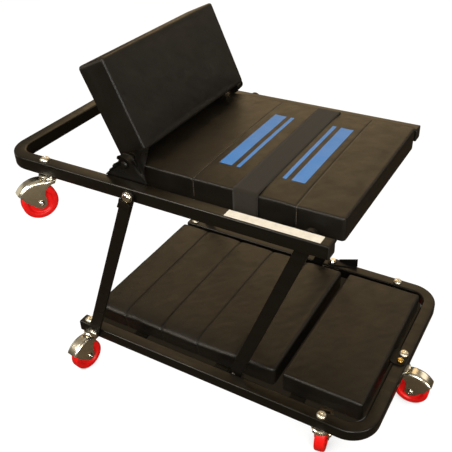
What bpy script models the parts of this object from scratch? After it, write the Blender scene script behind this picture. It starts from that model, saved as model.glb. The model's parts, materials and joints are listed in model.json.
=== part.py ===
"""Folding mechanic's creeper, standing as a roller seat.

Two U-shaped square-tube frames are joined by four equal links, two outside and two inside the rails,
so the upper frame swings over on a parallelogram and butts against the lower one to make a flat creeper.
Four upholstered pads, a headrest on side hinges and seven swivel casters complete it.
Metres, +Z up, X along the length (foot end at +X), origin on the floor under the middle of the box.
"""
import math

import bmesh
import bpy
from mathutils import Matrix, Vector

# Driving sizes of the frames
TUBE = 0.025
TUBE_WALL = 0.002
TUBE_CORNER = 0.003
FRAME_BEND = 0.055
RAIL_TO_PAD = 0.027
LOWER_LENGTH = 0.636
UPPER_LENGTH = 0.653
PLUG_FLANGE = 0.002
PLUG_DEPTH = 0.009

# Driving sizes of the folding linkage
LINK_LENGTH = 0.4009
LINK_LEAN = 21.35
PIVOT_INSET = 0.0405
OPEN_PIVOT_INSET = 0.0414
FLAT_GAP = 0.004
LINK_WIDTH = 0.024
OUTER_LINK_THICK = 0.005
INNER_LINK_THICK = 0.008
COLLAR_FROM_PIVOT = 0.012
COLLAR_LENGTH = 0.020
COLLAR_PROUD = 0.003
COLLAR_SIDE = 0.002
STOP_LENGTH = 0.040
STOP_PLATE = 0.003
STOP_FACE_PLATE = 0.004

# Driving sizes of the bolts
PIVOT_BOLT_RADIUS = 0.005
BOLT_FLANGE_RADIUS = 0.0095
BOLT_FLANGE = 0.0015
BOLT_DOME_RADIUS = 0.0085
BOLT_DOME = 0.0065
NUT_RADIUS = 0.0085
NUT_HEIGHT = 0.0075
SHOULDER_RADIUS = 0.009
SHOULDER = 0.0019
STEM_RADIUS = 0.005
STEM_HEAD_RADIUS = 0.0085
STEM_HEAD = 0.006
RIVET_RADIUS = 0.008
RIVET_HEIGHT = 0.0035

# Driving sizes of the casters
WHEEL_DIAMETER = 0.067
WHEEL_WIDTH = 0.020
AXLE_DROP = 0.051
AXLE_RADIUS = 0.004
CASTER_TRAIL = 0.025
FORK_WIDTH = 0.027
FORK_PLATE = 0.002
HOOD_GAP = 0.009
HOOD_PLATE = 0.0025
FORK_EYE_RADIUS = 0.011
CROWN_RADIUS = 0.015
RACE_RADIUS = 0.017
RACE_HEIGHT = 0.004
CASTER_FROM_OPEN_END = 0.018
CASTER_FROM_FOOT = 0.093
CASTER_FROM_HEAD = 0.099
OPEN_CASTER_HEADING = 261.0
FOOT_CASTER_HEADING = 101.0
CENTRE_CASTER_HEADING = 2.0
HEAD_CASTER_HEADING = 240.0

# Driving sizes of the pads and their supports
PAD_WIDTH = 0.336
PAD_RISE = 0.019
PAD_CROWN = 0.002
PAD_DRAW = 0.001
PAD_EDGE = 0.004
SEAM_DEPTH = 0.0016
BOARD_THICK = 0.008
BOARD_INSET = 0.003
SEAT_LENGTH = 0.3841
SEAT_OVERHANG = 0.004
SEAT_SEAMS = (0.1171, 0.3031)
MAIN_PAD_INSET = 0.010
MAIN_PAD_LENGTH = 0.420
MAIN_PAD_SEAMS = (0.074, 0.164, 0.250, 0.336)
PAD_GAP = 0.016
FOOT_PAD_LENGTH = 0.157
STRAP_WIDTH = 0.030
STRAP_THICK = 0.003
STRAP_SIDE_MARGIN = 0.006
STRAP_END_MARGIN = 0.112
FOOT_STRAP_FROM_CASTER = 0.062
SEAT_STRAP_REAR = 0.0811
SEAT_STRAP_FRONT = 0.090
BELT_FROM_FRONT = 0.145
BELT_WIDTH = 0.045
BELT_THICK = 0.0015
BELT_EASE = 0.001

# Driving sizes of the headrest and its hinge
HEADREST_HEIGHT = 0.165
HEADREST_THICK = 0.062
HEADREST_TILT = 23.9
HINGE_FROM_SEAT_REAR = 0.0011
HINGE_ABOVE_RAIL = 0.0277
HINGE_BELOW_PAD = 0.0064
HINGE_BEHIND_FACE = 0.0324
HINGE_BOLT_RADIUS = 0.004
HINGE_PLATE = 0.003
HINGE_ROUND = 0.0185
HINGE_CREST = (0.005, 0.003)
HINGE_REAR_FOOT = 0.043
HINGE_FRONT_FOOT = 0.042
HINGE_SKIRT = 0.020
FAR_HINGE_ROUND = 0.0095
FAR_HINGE_FOOT = 0.014
FLANGE_WIDTH = 0.014
FLANGE_PLATE = 0.0025
EAR_RADIUS = 0.012
EAR_PLATE = 0.004
EAR_GAP = 0.0015
EAR_PLATE_WEB = 0.003

# Driving sizes of the lock lever and the keeper at the foot end
LOCK_FROM_PIVOT = 0.0355
LOCK_EYE_RADIUS = 0.0115
LOCK_PLATE = 0.003
LOCK_REACH = 0.055
LOCK_WEDGE_LOW = 0.006
LOCK_WEDGE_HIGH = 0.021
KEEPER_PLATE = 0.003
KEEPER_ROUND = 0.010
KEEPER_OVERHANG = 0.008
KEEPER_NEAR = 0.031
KEEPER_FAR = 0.0105
BRASS_OFFSET = 0.0215
BRASS_RADIUS = 0.0055
BRASS_HEAD = 0.005
BRASS_SHANK_RADIUS = 0.003
BRASS_SHANK = 0.010

# Clearances and facet counts
CLEAR = 0.0003
WELD = 0.0002
HOLE_CLEAR = 0.0005
OPEN_PIVOT_CLEAR = 0.0008
LINK_CLEAR = 0.0005
STOP_CLEAR = 0.0005
ROUND = 10
WHEEL_FACETS = 18
BEND_STEPS = 6

# Places worked out from the driving sizes
LEAN = math.radians(LINK_LEAN)
LINK_DIR = Vector((math.sin(LEAN), 0.0, math.cos(LEAN)))
PIVOT_SPAN = LINK_LENGTH - FLAT_GAP - PIVOT_INSET - OPEN_PIVOT_INSET
FRAME_WIDTH = PAD_WIDTH + 2 * (RAIL_TO_PAD + TUBE)
RAIL_Y = (FRAME_WIDTH - TUBE) / 2
RAIL_IN = FRAME_WIDTH / 2 - TUBE
RAIL_OUT = FRAME_WIDTH / 2
LOW_BOTTOM = AXLE_DROP + WHEEL_DIAMETER / 2
LOW_MID = LOW_BOTTOM + TUBE / 2
LOW_TOP = LOW_BOTTOM + TUBE
RISE = LINK_LENGTH * math.cos(LEAN)
UP_BOTTOM = LOW_BOTTOM + RISE
UP_MID = LOW_MID + RISE
UP_TOP = LOW_TOP + RISE
OUTER_LOW_PIVOT = Vector((PIVOT_INSET, 0.0, LOW_MID))
INNER_LOW_PIVOT = Vector((PIVOT_INSET + PIVOT_SPAN, 0.0, LOW_MID))
OUTER_TOP_PIVOT = OUTER_LOW_PIVOT + LINK_LENGTH * LINK_DIR
INNER_TOP_PIVOT = INNER_LOW_PIVOT + LINK_LENGTH * LINK_DIR
UPPER_OPEN = OUTER_TOP_PIVOT.x + LINK_LENGTH - FLAT_GAP - PIVOT_INSET
UPPER_HEAD = UPPER_OPEN - UPPER_LENGTH
SEAT_FRONT = UPPER_OPEN + SEAT_OVERHANG
SEAT_REAR = SEAT_FRONT - SEAT_LENGTH
FOOT_PAD_START = MAIN_PAD_INSET + MAIN_PAD_LENGTH + PAD_GAP
BELT_MIDDLE = SEAT_FRONT - BELT_FROM_FRONT - BELT_WIDTH / 2
PAD_HEIGHT = TUBE + PAD_RISE - BOARD_THICK - WELD - 2 * CLEAR
OUTER_LINK_IN = RAIL_OUT + LINK_CLEAR
OUTER_LINK_OUT = OUTER_LINK_IN + OUTER_LINK_THICK
INNER_LINK_OUT = RAIL_IN - CLEAR - SHOULDER
INNER_LINK_IN = INNER_LINK_OUT - INNER_LINK_THICK
SEAT_HINGE = Vector((SEAT_REAR + HINGE_FROM_SEAT_REAR, 0.0, UP_TOP + HINGE_ABOVE_RAIL))
LOCK_POINT = Vector((INNER_LOW_PIVOT.x + LOCK_FROM_PIVOT, RAIL_Y, LOW_TOP))
SIDES = (("near", -1), ("far", 1))

# Finishes: colour, roughness and metallic value
FINISHES = {
    "paint": ((0.012, 0.011, 0.010), 0.30, 0.0),
    "plastic": ((0.015, 0.014, 0.013), 0.45, 0.0),
    "vinyl": ((0.016, 0.014, 0.012), 0.42, 0.0),
    "elastic": ((0.045, 0.042, 0.045), 0.85, 0.0),
    "ply": ((0.42, 0.28, 0.15), 0.75, 0.0),
    "zinc": ((0.62, 0.60, 0.52), 0.28, 1.0),
    "chrome": ((0.78, 0.77, 0.74), 0.14, 1.0),
    "steel": ((0.55, 0.54, 0.52), 0.35, 1.0),
    "brass": ((0.70, 0.48, 0.16), 0.25, 1.0),
    "red": ((0.78, 0.012, 0.012), 0.35, 0.0),
}


class Body:
    """Pieces that move together, hung on an empty that stands on their joint's axis."""

    def __init__(self, name, pivot, parent=None, heading=0.0):
        self.pivot = Vector(pivot)
        self.empty = bpy.data.objects.new(name, None)
        bpy.context.scene.collection.objects.link(self.empty)
        self.empty.location = self.pivot
        self.empty.rotation_euler = (0.0, 0.0, math.radians(heading))
        if parent is not None:
            self.empty.parent = parent.empty
            self.empty.location = self.pivot - parent.pivot

    def add(self, name, shape, finish):
        """Add a piece drawn in the model's own coordinates."""
        bmesh.ops.translate(shape, vec=-self.pivot, verts=shape.verts[:])
        return self.add_mesh(name, to_mesh(name, shape), finish)

    def add_mesh(self, name, mesh, finish):
        """Add a piece whose mesh is already drawn about this body's pivot."""
        if not mesh.materials:
            mesh.materials.append(finish)
        piece = bpy.data.objects.new(name, mesh)
        bpy.context.scene.collection.objects.link(piece)
        piece.parent = self.empty
        return piece


def clear_scene():
    """Remove whatever the scene holds."""
    for item in list(bpy.data.objects):
        bpy.data.objects.remove(item, do_unlink=True)


def make_finish(name, colour, roughness, metallic):
    """Make one plain surface finish."""
    material = bpy.data.materials.new(name)
    material.use_nodes = True
    shader = material.node_tree.nodes["Principled BSDF"]
    shader.inputs["Base Color"].default_value = (*colour, 1.0)
    shader.inputs["Roughness"].default_value = roughness
    shader.inputs["Metallic"].default_value = metallic
    return material


def to_mesh(name, shape):
    """Turn a working shape into a mesh with outward faces and smooth round sides."""
    bmesh.ops.recalc_face_normals(shape, faces=shape.faces[:])
    mesh = bpy.data.meshes.new(name)
    shape.to_mesh(mesh)
    shape.free()
    mesh.shade_smooth()
    mesh.set_sharp_from_angle(angle=math.radians(35))
    return mesh


def boolean(body, tool, operation):
    """Join or cut two closed shapes and return the resulting shape."""
    pair = []
    for shape in (body, tool):
        item = bpy.data.objects.new("work", to_mesh("work", shape))
        bpy.context.scene.collection.objects.link(item)
        pair.append(item)
    modifier = pair[0].modifiers.new("boolean", "BOOLEAN")
    modifier.operation = operation
    modifier.object = pair[1]
    graph = bpy.context.evaluated_depsgraph_get()
    mesh = bpy.data.meshes.new_from_object(pair[0].evaluated_get(graph))
    result = bmesh.new()
    result.from_mesh(mesh)
    bpy.data.meshes.remove(mesh)
    for item in pair:
        work = item.data
        bpy.data.objects.remove(item)
        bpy.data.meshes.remove(work)
    return result


def loft(shape, rings, capped=True):
    """Skin a row of closed rings of points, with flat caps at both ends."""
    loops = [[shape.verts.new(point) for point in ring] for ring in rings]
    for low, high in zip(loops, loops[1:]):
        bridge(shape, low, high)
    if capped:
        shape.faces.new(loops[0])
        shape.faces.new(loops[-1])
    return loops


def bridge(shape, low, high):
    """Join two closed loops of as many points with a band of faces."""
    for index, (a, b) in enumerate(zip(low, high)):
        following = (index + 1) % len(low)
        shape.faces.new((a, low[following], high[following], b))


def along(point, level, axis):
    """Put a flat point into space, at a level on the given axis."""
    values = list(point)
    values.insert(axis, level)
    return Vector(values)


def prism(shape, outline, low, high, axis):
    """Extrude a flat outline along an axis between two levels."""
    loft(shape, [[along(point, level, axis) for point in outline] for level in (low, high)])


def box(shape, low, high):
    """Add a plain block between two corners."""
    outline = ((low[0], low[1]), (high[0], low[1]), (high[0], high[1]), (low[0], high[1]))
    prism(shape, outline, low[2], high[2], 2)


def arc(centre, radius, start, end, steps):
    """Points on an arc, with its angles in degrees."""
    points = []
    for step in range(steps + 1):
        angle = math.radians(start + (end - start) * step / steps)
        points.append((centre[0] + radius * math.cos(angle), centre[1] + radius * math.sin(angle)))
    return points


def rounded_box_outline(low, high, corner, steps=2):
    """Outline of a rectangle with round corners."""
    points = []
    corners = ((high[0], high[1]), (low[0], high[1]), (low[0], low[1]), (high[0], low[1]))
    for quarter, (cx, cy) in enumerate(corners):
        middle = (cx - math.copysign(corner, cx - (low[0] + high[0]) / 2),
                  cy - math.copysign(corner, cy - (low[1] + high[1]) / 2))
        points += arc(middle, corner, 90 * quarter, 90 * quarter + 90, steps)
    return points


def turned(shape, profile, centre, axis, across, facets=ROUND, bored=False):
    """Turn a profile of (radius, height) points about an axis, with a flat facet towards across."""
    axis = Vector(axis)
    across = Vector(across)
    beside = axis.cross(across)
    rings = []
    for radius, height in profile:
        base = Vector(centre) + axis * height
        ring = []
        for index in range(facets if radius > 0 else 1):
            angle = 2 * math.pi * (index + 0.5) / facets
            out = math.cos(angle) * across + math.sin(angle) * beside
            ring.append(shape.verts.new(base + radius * out))
        rings.append(ring)
    pairs = list(zip(rings, rings[1:]))
    if bored:
        pairs.append((rings[-1], rings[0]))
    for low, high in pairs:
        if len(low) == len(high):
            bridge(shape, low, high)
            continue
        pole, ring = (low[0], high) if len(low) == 1 else (high[0], low)
        for index in range(facets):
            shape.faces.new((pole, ring[index], ring[(index + 1) % facets]))


def peg(shape, centre, axis, radius, low, high, facets=ROUND):
    """Add a plain round peg along Y or Z, also used as a drill."""
    across = (1, 0, 0)
    turned(shape, ((0, low), (radius, low), (radius, high), (0, high)), centre, axis, across, facets)


def square_section(side, corner):
    """Section of a square tube as points across and up."""
    half = side / 2
    return rounded_box_outline((-half, -half), (half, half), corner)


def frame_path(open_x, closed_x):
    """Middle line of a U-shaped frame in plan: points, each with the direction that faces out."""
    way = math.copysign(1.0, closed_x - open_x)
    radius = FRAME_BEND - TUBE / 2
    bend_x = closed_x - way * FRAME_BEND
    bend_y = FRAME_WIDTH / 2 - FRAME_BEND
    path = [(Vector((open_x, -RAIL_Y, 0)), Vector((0, -1, 0)))]
    for side in (-1, 1):
        for step in range(BEND_STEPS + 1):
            turn = math.pi / 2 * step / BEND_STEPS
            if side < 0:
                out = Vector((way * math.sin(turn), -math.cos(turn), 0))
            else:
                out = Vector((way * math.cos(turn), math.sin(turn), 0))
            path.append((Vector((bend_x, side * bend_y, 0)) + radius * out, out))
    path.append((Vector((open_x, RAIL_Y, 0)), Vector((0, 1, 0))))
    return path


def frame_weldment(open_x, closed_x, mid, welded, drills):
    """Bend one square tube into a U, weld its cross straps and stops to it and drill it for its bolts."""
    shape = bmesh.new()
    skins = []
    inner_corner = max(TUBE_CORNER - TUBE_WALL, CLEAR)
    for section in (square_section(TUBE, TUBE_CORNER), square_section(TUBE - 2 * TUBE_WALL, inner_corner)):
        rings = []
        for point, out in frame_path(open_x, closed_x):
            rings.append([point + out * across + Vector((0, 0, mid + up)) for across, up in section])
        skins.append(loft(shape, rings, capped=False))
    for end in (0, -1):
        bridge(shape, skins[0][end], skins[1][end])
    return boolean(boolean(shape, welded, "UNION"), drills, "DIFFERENCE")


def end_plug(open_x, way, mid, side):
    """Plastic plug that closes one open end of a frame; way points out of the tube."""
    shape = bmesh.new()
    stem = TUBE - 2 * TUBE_WALL - 2 * CLEAR
    edge = PLUG_FLANGE / 2
    steps = ((stem, -PLUG_DEPTH), (stem, CLEAR), (TUBE, CLEAR), (TUBE, edge), (TUBE - edge, PLUG_FLANGE))
    rings = []
    for size, reach in steps:
        section = square_section(size, TUBE_CORNER)
        rings.append([Vector((open_x + way * reach, side * RAIL_Y + a, mid + b)) for a, b in section])
    loft(shape, rings)
    return shape


def add_straps(shape, places, bottom):
    """Flat cross straps welded under the rails, where the pad boards lie on them."""
    half = RAIL_OUT - STRAP_SIDE_MARGIN
    top = bottom + WELD
    for x in places:
        box(shape, (x - STRAP_WIDTH / 2, -half, top - STRAP_THICK), (x + STRAP_WIDTH / 2, half, top))


def add_stops(shape):
    """Angle brackets welded inside the lower rails, which the inner links lean on."""
    weld = RAIL_IN + WELD
    plan = ((0, weld), (STOP_LENGTH, weld), (STOP_LENGTH, RAIL_IN - STOP_PLATE),
            (STOP_FACE_PLATE, RAIL_IN - STOP_PLATE), (STOP_FACE_PLATE, INNER_LINK_IN), (0, INNER_LINK_IN))
    stand_off = (LINK_WIDTH / 2 + STOP_CLEAR) / math.cos(LEAN)
    for tag, side in SIDES:
        rings = []
        for level in (LOW_BOTTOM + TUBE_CORNER, LOW_TOP - TUBE_CORNER):
            face = INNER_LOW_PIVOT.x + (level - LOW_MID) * math.tan(LEAN) + stand_off
            rings.append([Vector((face + x, side * y, level)) for x, y in plan])
        loft(shape, rings)


def stem_drill(shape, place, bottom, top):
    """Drill a rail from top to bottom for a caster stem or an upright bolt."""
    reach = TUBE_WALL
    peg(shape, (place[0], place[1], 0), (0, 0, 1), STEM_RADIUS + HOLE_CLEAR, bottom - reach, top + reach)


def pivot_drill(shape, pivot, face, way, clear):
    """Drill one wall of both rails for a pivot; way points from the face into the tube."""
    for tag, side in SIDES:
        centre = (pivot.x, side * face, pivot.z)
        peg(shape, centre, (0, side * way, 0), PIVOT_BOLT_RADIUS + clear, -TUBE_WALL, TUBE / 2)


def dome_head(seat, radius, dome):
    """Profile of a flanged dome head above its seat."""
    flange = radius + BOLT_FLANGE_RADIUS - BOLT_DOME_RADIUS
    top = seat + BOLT_FLANGE
    return [(flange, seat), (flange, top), (radius, top), (0.72 * radius, top + 0.75 * dome), (0, top + dome)]


def fold_bolt(pivot, side):
    """Bolt of an outer link, with its nut inside the rail."""
    shape = bmesh.new()
    seat = OUTER_LINK_OUT + CLEAR
    nut = RAIL_OUT - TUBE_WALL - CLEAR - seat
    profile = [(0, nut - NUT_HEIGHT), (NUT_RADIUS, nut - NUT_HEIGHT), (NUT_RADIUS, nut),
               (PIVOT_BOLT_RADIUS, nut), (PIVOT_BOLT_RADIUS, 0)]
    profile += dome_head(0, BOLT_DOME_RADIUS, BOLT_DOME)
    turned(shape, profile, (pivot.x, side * seat, pivot.z), (0, side, 0), (1, 0, 0))
    return shape


def link_outline(low_pivot):
    """Outline of a flat link with round ends, from its lower pivot to its upper one."""
    half = LINK_WIDTH / 2
    top = low_pivot + LINK_LENGTH * LINK_DIR
    outline = arc((top.x, top.z), half, 180 - LINK_LEAN, -LINK_LEAN, 8)
    return outline + arc((low_pivot.x, low_pivot.z), half, -LINK_LEAN, -180 - LINK_LEAN, 8)


def outer_link(side):
    """Outer link: a flat bar on two bolts, with a collar folded round it below the upper one."""
    shape = bmesh.new()
    prism(shape, link_outline(OUTER_LOW_PIVOT), side * OUTER_LINK_IN, side * OUTER_LINK_OUT, 1)
    collar = bmesh.new()
    across = Vector((LINK_DIR.z, 0, -LINK_DIR.x))
    outline = []
    for reach, share in ((-1, 0), (1, 0), (1, 1), (-1, 1)):
        width = LINK_WIDTH / 2 + (COLLAR_SIDE if reach < 0 else -CLEAR)
        down = COLLAR_FROM_PIVOT + share * COLLAR_LENGTH
        point = OUTER_TOP_PIVOT - LINK_DIR * down + across * reach * width
        outline.append((point.x, point.z))
    prism(collar, outline, side * (OUTER_LINK_IN + CLEAR), side * (OUTER_LINK_OUT + COLLAR_PROUD), 1)
    drills = bmesh.new()
    for pivot in (OUTER_LOW_PIVOT, OUTER_TOP_PIVOT):
        centre = (pivot.x, side * OUTER_LINK_IN, pivot.z)
        reach = OUTER_LINK_THICK + 2 * COLLAR_PROUD
        peg(drills, centre, (0, side, 0), PIVOT_BOLT_RADIUS + HOLE_CLEAR, -COLLAR_PROUD, reach)
    return boolean(boolean(shape, collar, "UNION"), drills, "DIFFERENCE")


def inner_link(side):
    """Inner link: a flat bar with a shouldered stud riveted through each end, held inside the rail."""
    shape = bmesh.new()
    prism(shape, link_outline(INNER_LOW_PIVOT), side * INNER_LINK_IN, side * INNER_LINK_OUT, 1)
    catch = -TUBE_WALL - CLEAR
    middle = RAIL_IN - (INNER_LINK_IN + INNER_LINK_OUT) / 2
    profile = [(0, catch - NUT_HEIGHT), (NUT_RADIUS, catch - NUT_HEIGHT), (NUT_RADIUS, catch),
               (PIVOT_BOLT_RADIUS, catch), (PIVOT_BOLT_RADIUS, CLEAR), (SHOULDER_RADIUS, CLEAR),
               (SHOULDER_RADIUS, middle), (BOLT_FLANGE_RADIUS, middle)]
    profile += dome_head(RAIL_IN - INNER_LINK_IN, BOLT_DOME_RADIUS, BOLT_DOME)[1:]
    studs = bmesh.new()
    for pivot in (INNER_LOW_PIVOT, INNER_TOP_PIVOT):
        turned(studs, profile, (pivot.x, side * RAIL_IN, pivot.z), (0, -side, 0), (1, 0, 0))
    return boolean(shape, studs, "UNION")


def pad_board(start, length, bottom):
    """Plywood board under a pad."""
    shape = bmesh.new()
    low = bottom + WELD + CLEAR
    half = PAD_WIDTH / 2 - BOARD_INSET
    box(shape, (start + BOARD_INSET, -half, low), (start + length - BOARD_INSET, half, low + BOARD_THICK))
    return shape


def stations(edges, margin):
    """Places of the grid lines over panels that meet at the given edges."""
    places = []
    for low, high in zip(edges, edges[1:]):
        panel = high - low
        near = min(margin, panel * 0.15)
        places += [low, low + near, low + panel * 0.32, high - panel * 0.32, high - near]
    return places + [edges[-1]]


def cushion(length, width, height, seams=()):
    """Crowned pad with sewn channels and sides drawn in between its corners, bottom at zero."""
    shape = bmesh.new()
    xs = stations((0.0, *seams, length), 1.4 * PAD_EDGE)
    ys = stations((-width / 2, width / 2), 1.4 * PAD_EDGE)
    top = []
    for x in xs:
        row = []
        on_seam = any(abs(x - seam) < CLEAR for seam in seams)
        for y in ys:
            fx = 2 * x / length - 1
            fy = 2 * y / width
            rise = height - PAD_CROWN * (fx ** 4 + fy ** 4) / 2
            if x in (xs[0], xs[-1]) or y in (ys[0], ys[-1]):
                rise = height - PAD_CROWN / 2 - PAD_EDGE
            elif on_seam:
                rise -= SEAM_DEPTH
            draw_x = PAD_DRAW * (1 - fy * fy)
            draw_y = PAD_DRAW * (1 - fx * fx) + (PAD_DRAW / 2 if on_seam else 0)
            plan_x = length / 2 + (x - length / 2) * (1 - 2 * draw_x / length)
            row.append(shape.verts.new((plan_x, y * (1 - 2 * draw_y / width), rise)))
        top.append(row)
    for low, high in zip(top, top[1:]):
        for j in range(len(ys) - 1):
            shape.faces.new((low[j], high[j], high[j + 1], low[j + 1]))
    border = [row[0] for row in top] + top[-1][1:] + [row[-1] for row in top[-2::-1]] + top[0][-2:0:-1]
    loops = [border]
    for level, inset in ((0.35 * height, 0.0), (0.0, PAD_EDGE / 2)):
        loop = []
        for vertex in border:
            x = length / 2 + (vertex.co.x - length / 2) * (1 - 2 * inset / length)
            loop.append(shape.verts.new((x, vertex.co.y * (1 - 2 * inset / width), level)))
        loops.append(loop)
    for low, high in zip(loops, loops[1:]):
        bridge(shape, low, high)
    shape.faces.new(loops[-1])
    return shape


def flat_pad(start, length, bottom, seams=()):
    """A pad laid on its board."""
    shape = cushion(length, PAD_WIDTH, PAD_HEIGHT, seams)
    base = bottom + WELD + BOARD_THICK + 2 * CLEAR
    bmesh.ops.translate(shape, vec=(start, 0, base), verts=shape.verts[:])
    return shape


def seat_band():
    """Elastic band round the seat pad and its board."""
    shape = bmesh.new()
    half = PAD_WIDTH / 2 + BELT_EASE
    low = UP_BOTTOM + WELD
    high = UP_TOP + PAD_RISE
    loop = [(-half, low), (-half, high - PAD_EDGE), (2 * PAD_EDGE - half, high + CLEAR),
            (half - 2 * PAD_EDGE, high + CLEAR), (half, high - PAD_EDGE), (half, low)]
    skins = []
    for thick in (0.0, BELT_THICK):
        grown = []
        for y, z in loop:
            grown.append((y + math.copysign(thick, y), z + math.copysign(thick, z - UP_MID)))
        rings = [[Vector((BELT_MIDDLE + way * BELT_WIDTH / 2, y, z)) for y, z in grown] for way in (-1, 1)]
        skins.append(loft(shape, rings, capped=False))
    for end in (0, -1):
        bridge(shape, skins[0][end], skins[1][end])
    return shape


def headrest_frame():
    """Axes of the leaning headrest at its hinge: up along the pad, across, and out of its face."""
    tilt = math.radians(HEADREST_TILT)
    up = Vector((-math.sin(tilt), 0, math.cos(tilt)))
    face = Vector((math.cos(tilt), 0, math.sin(tilt)))
    axes = Matrix((up, face.cross(up), face)).transposed().to_4x4()
    return Matrix.Translation(SEAT_HINGE) @ axes


def headrest_pad():
    """Headrest cushion in front of its board."""
    height = HEADREST_THICK - BOARD_THICK - CLEAR
    shape = cushion(HEADREST_HEIGHT, PAD_WIDTH, height)
    place = Matrix.Translation((HINGE_BELOW_PAD, 0, HINGE_BEHIND_FACE - height))
    bmesh.ops.transform(shape, matrix=headrest_frame() @ place, verts=shape.verts[:])
    return shape


def headrest_board():
    """Plywood back of the headrest."""
    shape = bmesh.new()
    back = HINGE_BEHIND_FACE - HEADREST_THICK
    half = PAD_WIDTH / 2 - BOARD_INSET
    top = HINGE_BELOW_PAD + HEADREST_HEIGHT - BOARD_INSET
    box(shape, (HINGE_BELOW_PAD, -half, back), (top, half, back + BOARD_THICK))
    bmesh.ops.transform(shape, matrix=headrest_frame(), verts=shape.verts[:])
    return shape


def headrest_hinge_plate():
    """Steel plate under the headrest, turned into a round hinge ear at each end."""
    ears = bmesh.new()
    web = bmesh.new()
    drills = bmesh.new()
    near = PAD_WIDTH / 2 + EAR_GAP
    far = near + EAR_PLATE
    for tag, side in SIDES:
        peg(ears, (0, 0, 0), (0, side, 0), EAR_RADIUS, near, far, 2 * ROUND)
        peg(drills, (0, 0, 0), (0, side, 0), HINGE_BOLT_RADIUS + HOLE_CLEAR, near - EAR_GAP, far + EAR_GAP)
    top = HINGE_BELOW_PAD - CLEAR
    back = HINGE_BEHIND_FACE - HEADREST_THICK + CLEAR
    reach = far - CLEAR
    box(web, (top - EAR_PLATE_WEB, -reach, back), (top, reach, EAR_RADIUS / 2))
    shape = boolean(boolean(ears, web, "UNION"), drills, "DIFFERENCE")
    bmesh.ops.transform(shape, matrix=headrest_frame(), verts=shape.verts[:])
    return shape


def hinge_edges():
    """Edges of the near hinge bracket: over its round top and down the front, and down the rear."""
    rise = HINGE_ABOVE_RAIL
    front = arc(HINGE_CREST, HINGE_ROUND, 150, 20, 5)
    front += [(0.74 * HINGE_FRONT_FOOT, -0.22 * rise), (0.88 * HINGE_FRONT_FOOT, -0.55 * rise)]
    front += [(HINGE_FRONT_FOOT, -0.95 * rise)]
    rear = arc(HINGE_CREST, HINGE_ROUND, 165, 195, 2)
    rear += [(-0.58 * HINGE_REAR_FOOT, -0.40 * rise), (-HINGE_REAR_FOOT, -0.95 * rise)]
    return front, rear


def far_hinge_outline():
    """Outline of the plain far hinge bracket, which leans forward from its foot to the hinge axis."""
    foot = -HINGE_ABOVE_RAIL - HINGE_SKIRT
    outline = arc((0, 0), FAR_HINGE_ROUND, 135, -45, 6)
    outline += [(-FAR_HINGE_FOOT, -HINGE_ABOVE_RAIL), (-FAR_HINGE_FOOT, foot)]
    return outline + [(-HINGE_REAR_FOOT, foot), (-HINGE_REAR_FOOT, -0.95 * HINGE_ABOVE_RAIL)]


def hinge_flange(edge, side, plate_out):
    """Turned-out flange along one edge of the hinge bracket, tapering to its foot."""
    shape = bmesh.new()
    rings = []
    for index, point in enumerate(edge):
        share = 1 - 0.8 * index / (len(edge) - 1)
        out = Vector(point).normalized()
        inner = Vector(point) - out * FLANGE_PLATE
        outer = Vector(point) - out * CLEAR
        weld = side * (plate_out - HINGE_PLATE / 2)
        lip = side * (plate_out + FLANGE_WIDTH * share)
        ends = ((outer, weld), (outer, lip), (inner, lip), (inner, weld))
        rings.append([SEAT_HINGE + Vector((p.x, level, p.y)) for p, level in ends])
    loft(shape, rings)
    bmesh.ops.triangulate(shape, faces=shape.faces[:])
    return shape


def hinge_bracket(side):
    """Hinge bracket on the inner face of an upper rail; the near one has turned-out edges."""
    if side < 0:
        edges = hinge_edges()
        foot = -HINGE_ABOVE_RAIL - HINGE_SKIRT
        outline = edges[0] + [(HINGE_FRONT_FOOT, foot), (-HINGE_REAR_FOOT, foot)] + edges[1][::-1]
    else:
        edges = ()
        outline = far_hinge_outline()
    plate_out = RAIL_IN - CLEAR
    plate_in = plate_out - HINGE_PLATE
    shape = bmesh.new()
    points = [(SEAT_HINGE.x + x, SEAT_HINGE.z + z) for x, z in outline]
    prism(shape, points, side * plate_in, side * plate_out, 1)
    for edge in edges:
        shape = boolean(shape, hinge_flange(edge, side, plate_out), "UNION")
    drill = bmesh.new()
    centre = (SEAT_HINGE.x, 0, SEAT_HINGE.z)
    peg(drill, centre, (0, side, 0), HINGE_BOLT_RADIUS + HOLE_CLEAR, plate_in - HINGE_PLATE, RAIL_OUT)
    return boolean(shape, drill, "DIFFERENCE")


def hinge_bolt(side):
    """Headrest hinge bolt, with a shoulder between the bracket and the ear that turns on it."""
    shape = bmesh.new()
    ear_in = PAD_WIDTH / 2 + EAR_GAP
    ear_out = ear_in + EAR_PLATE + CLEAR
    shoulder = RAIL_IN - HINGE_PLATE - 2 * CLEAR
    profile = [(0, ear_in), (HINGE_BOLT_RADIUS, ear_in), (HINGE_BOLT_RADIUS, ear_out),
               (2 * HINGE_BOLT_RADIUS, ear_out), (2 * HINGE_BOLT_RADIUS, shoulder),
               (HINGE_BOLT_RADIUS, shoulder), (HINGE_BOLT_RADIUS, RAIL_IN)]
    profile += dome_head(RAIL_IN, 1.7 * HINGE_BOLT_RADIUS, BOLT_DOME / 2)
    turned(shape, profile, (SEAT_HINGE.x, 0, SEAT_HINGE.z), (0, side, 0), (1, 0, 0))
    return shape


def wheel_radius():
    """Radius of a caster wheel."""
    return WHEEL_DIAMETER / 2


def hood_radius():
    """Outer radius of a caster fork's hood about the axle."""
    return wheel_radius() + HOOD_GAP + HOOD_PLATE


def crown_level():
    """Height of the top of a caster fork's crown above the axle."""
    return hood_radius() - 1.2 * HOOD_PLATE


def hood_start(radius, level):
    """Angle at which a circle about the axle falls to a level, on the side towards the swivel."""
    return 180 - math.degrees(math.asin(level / radius))


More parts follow.
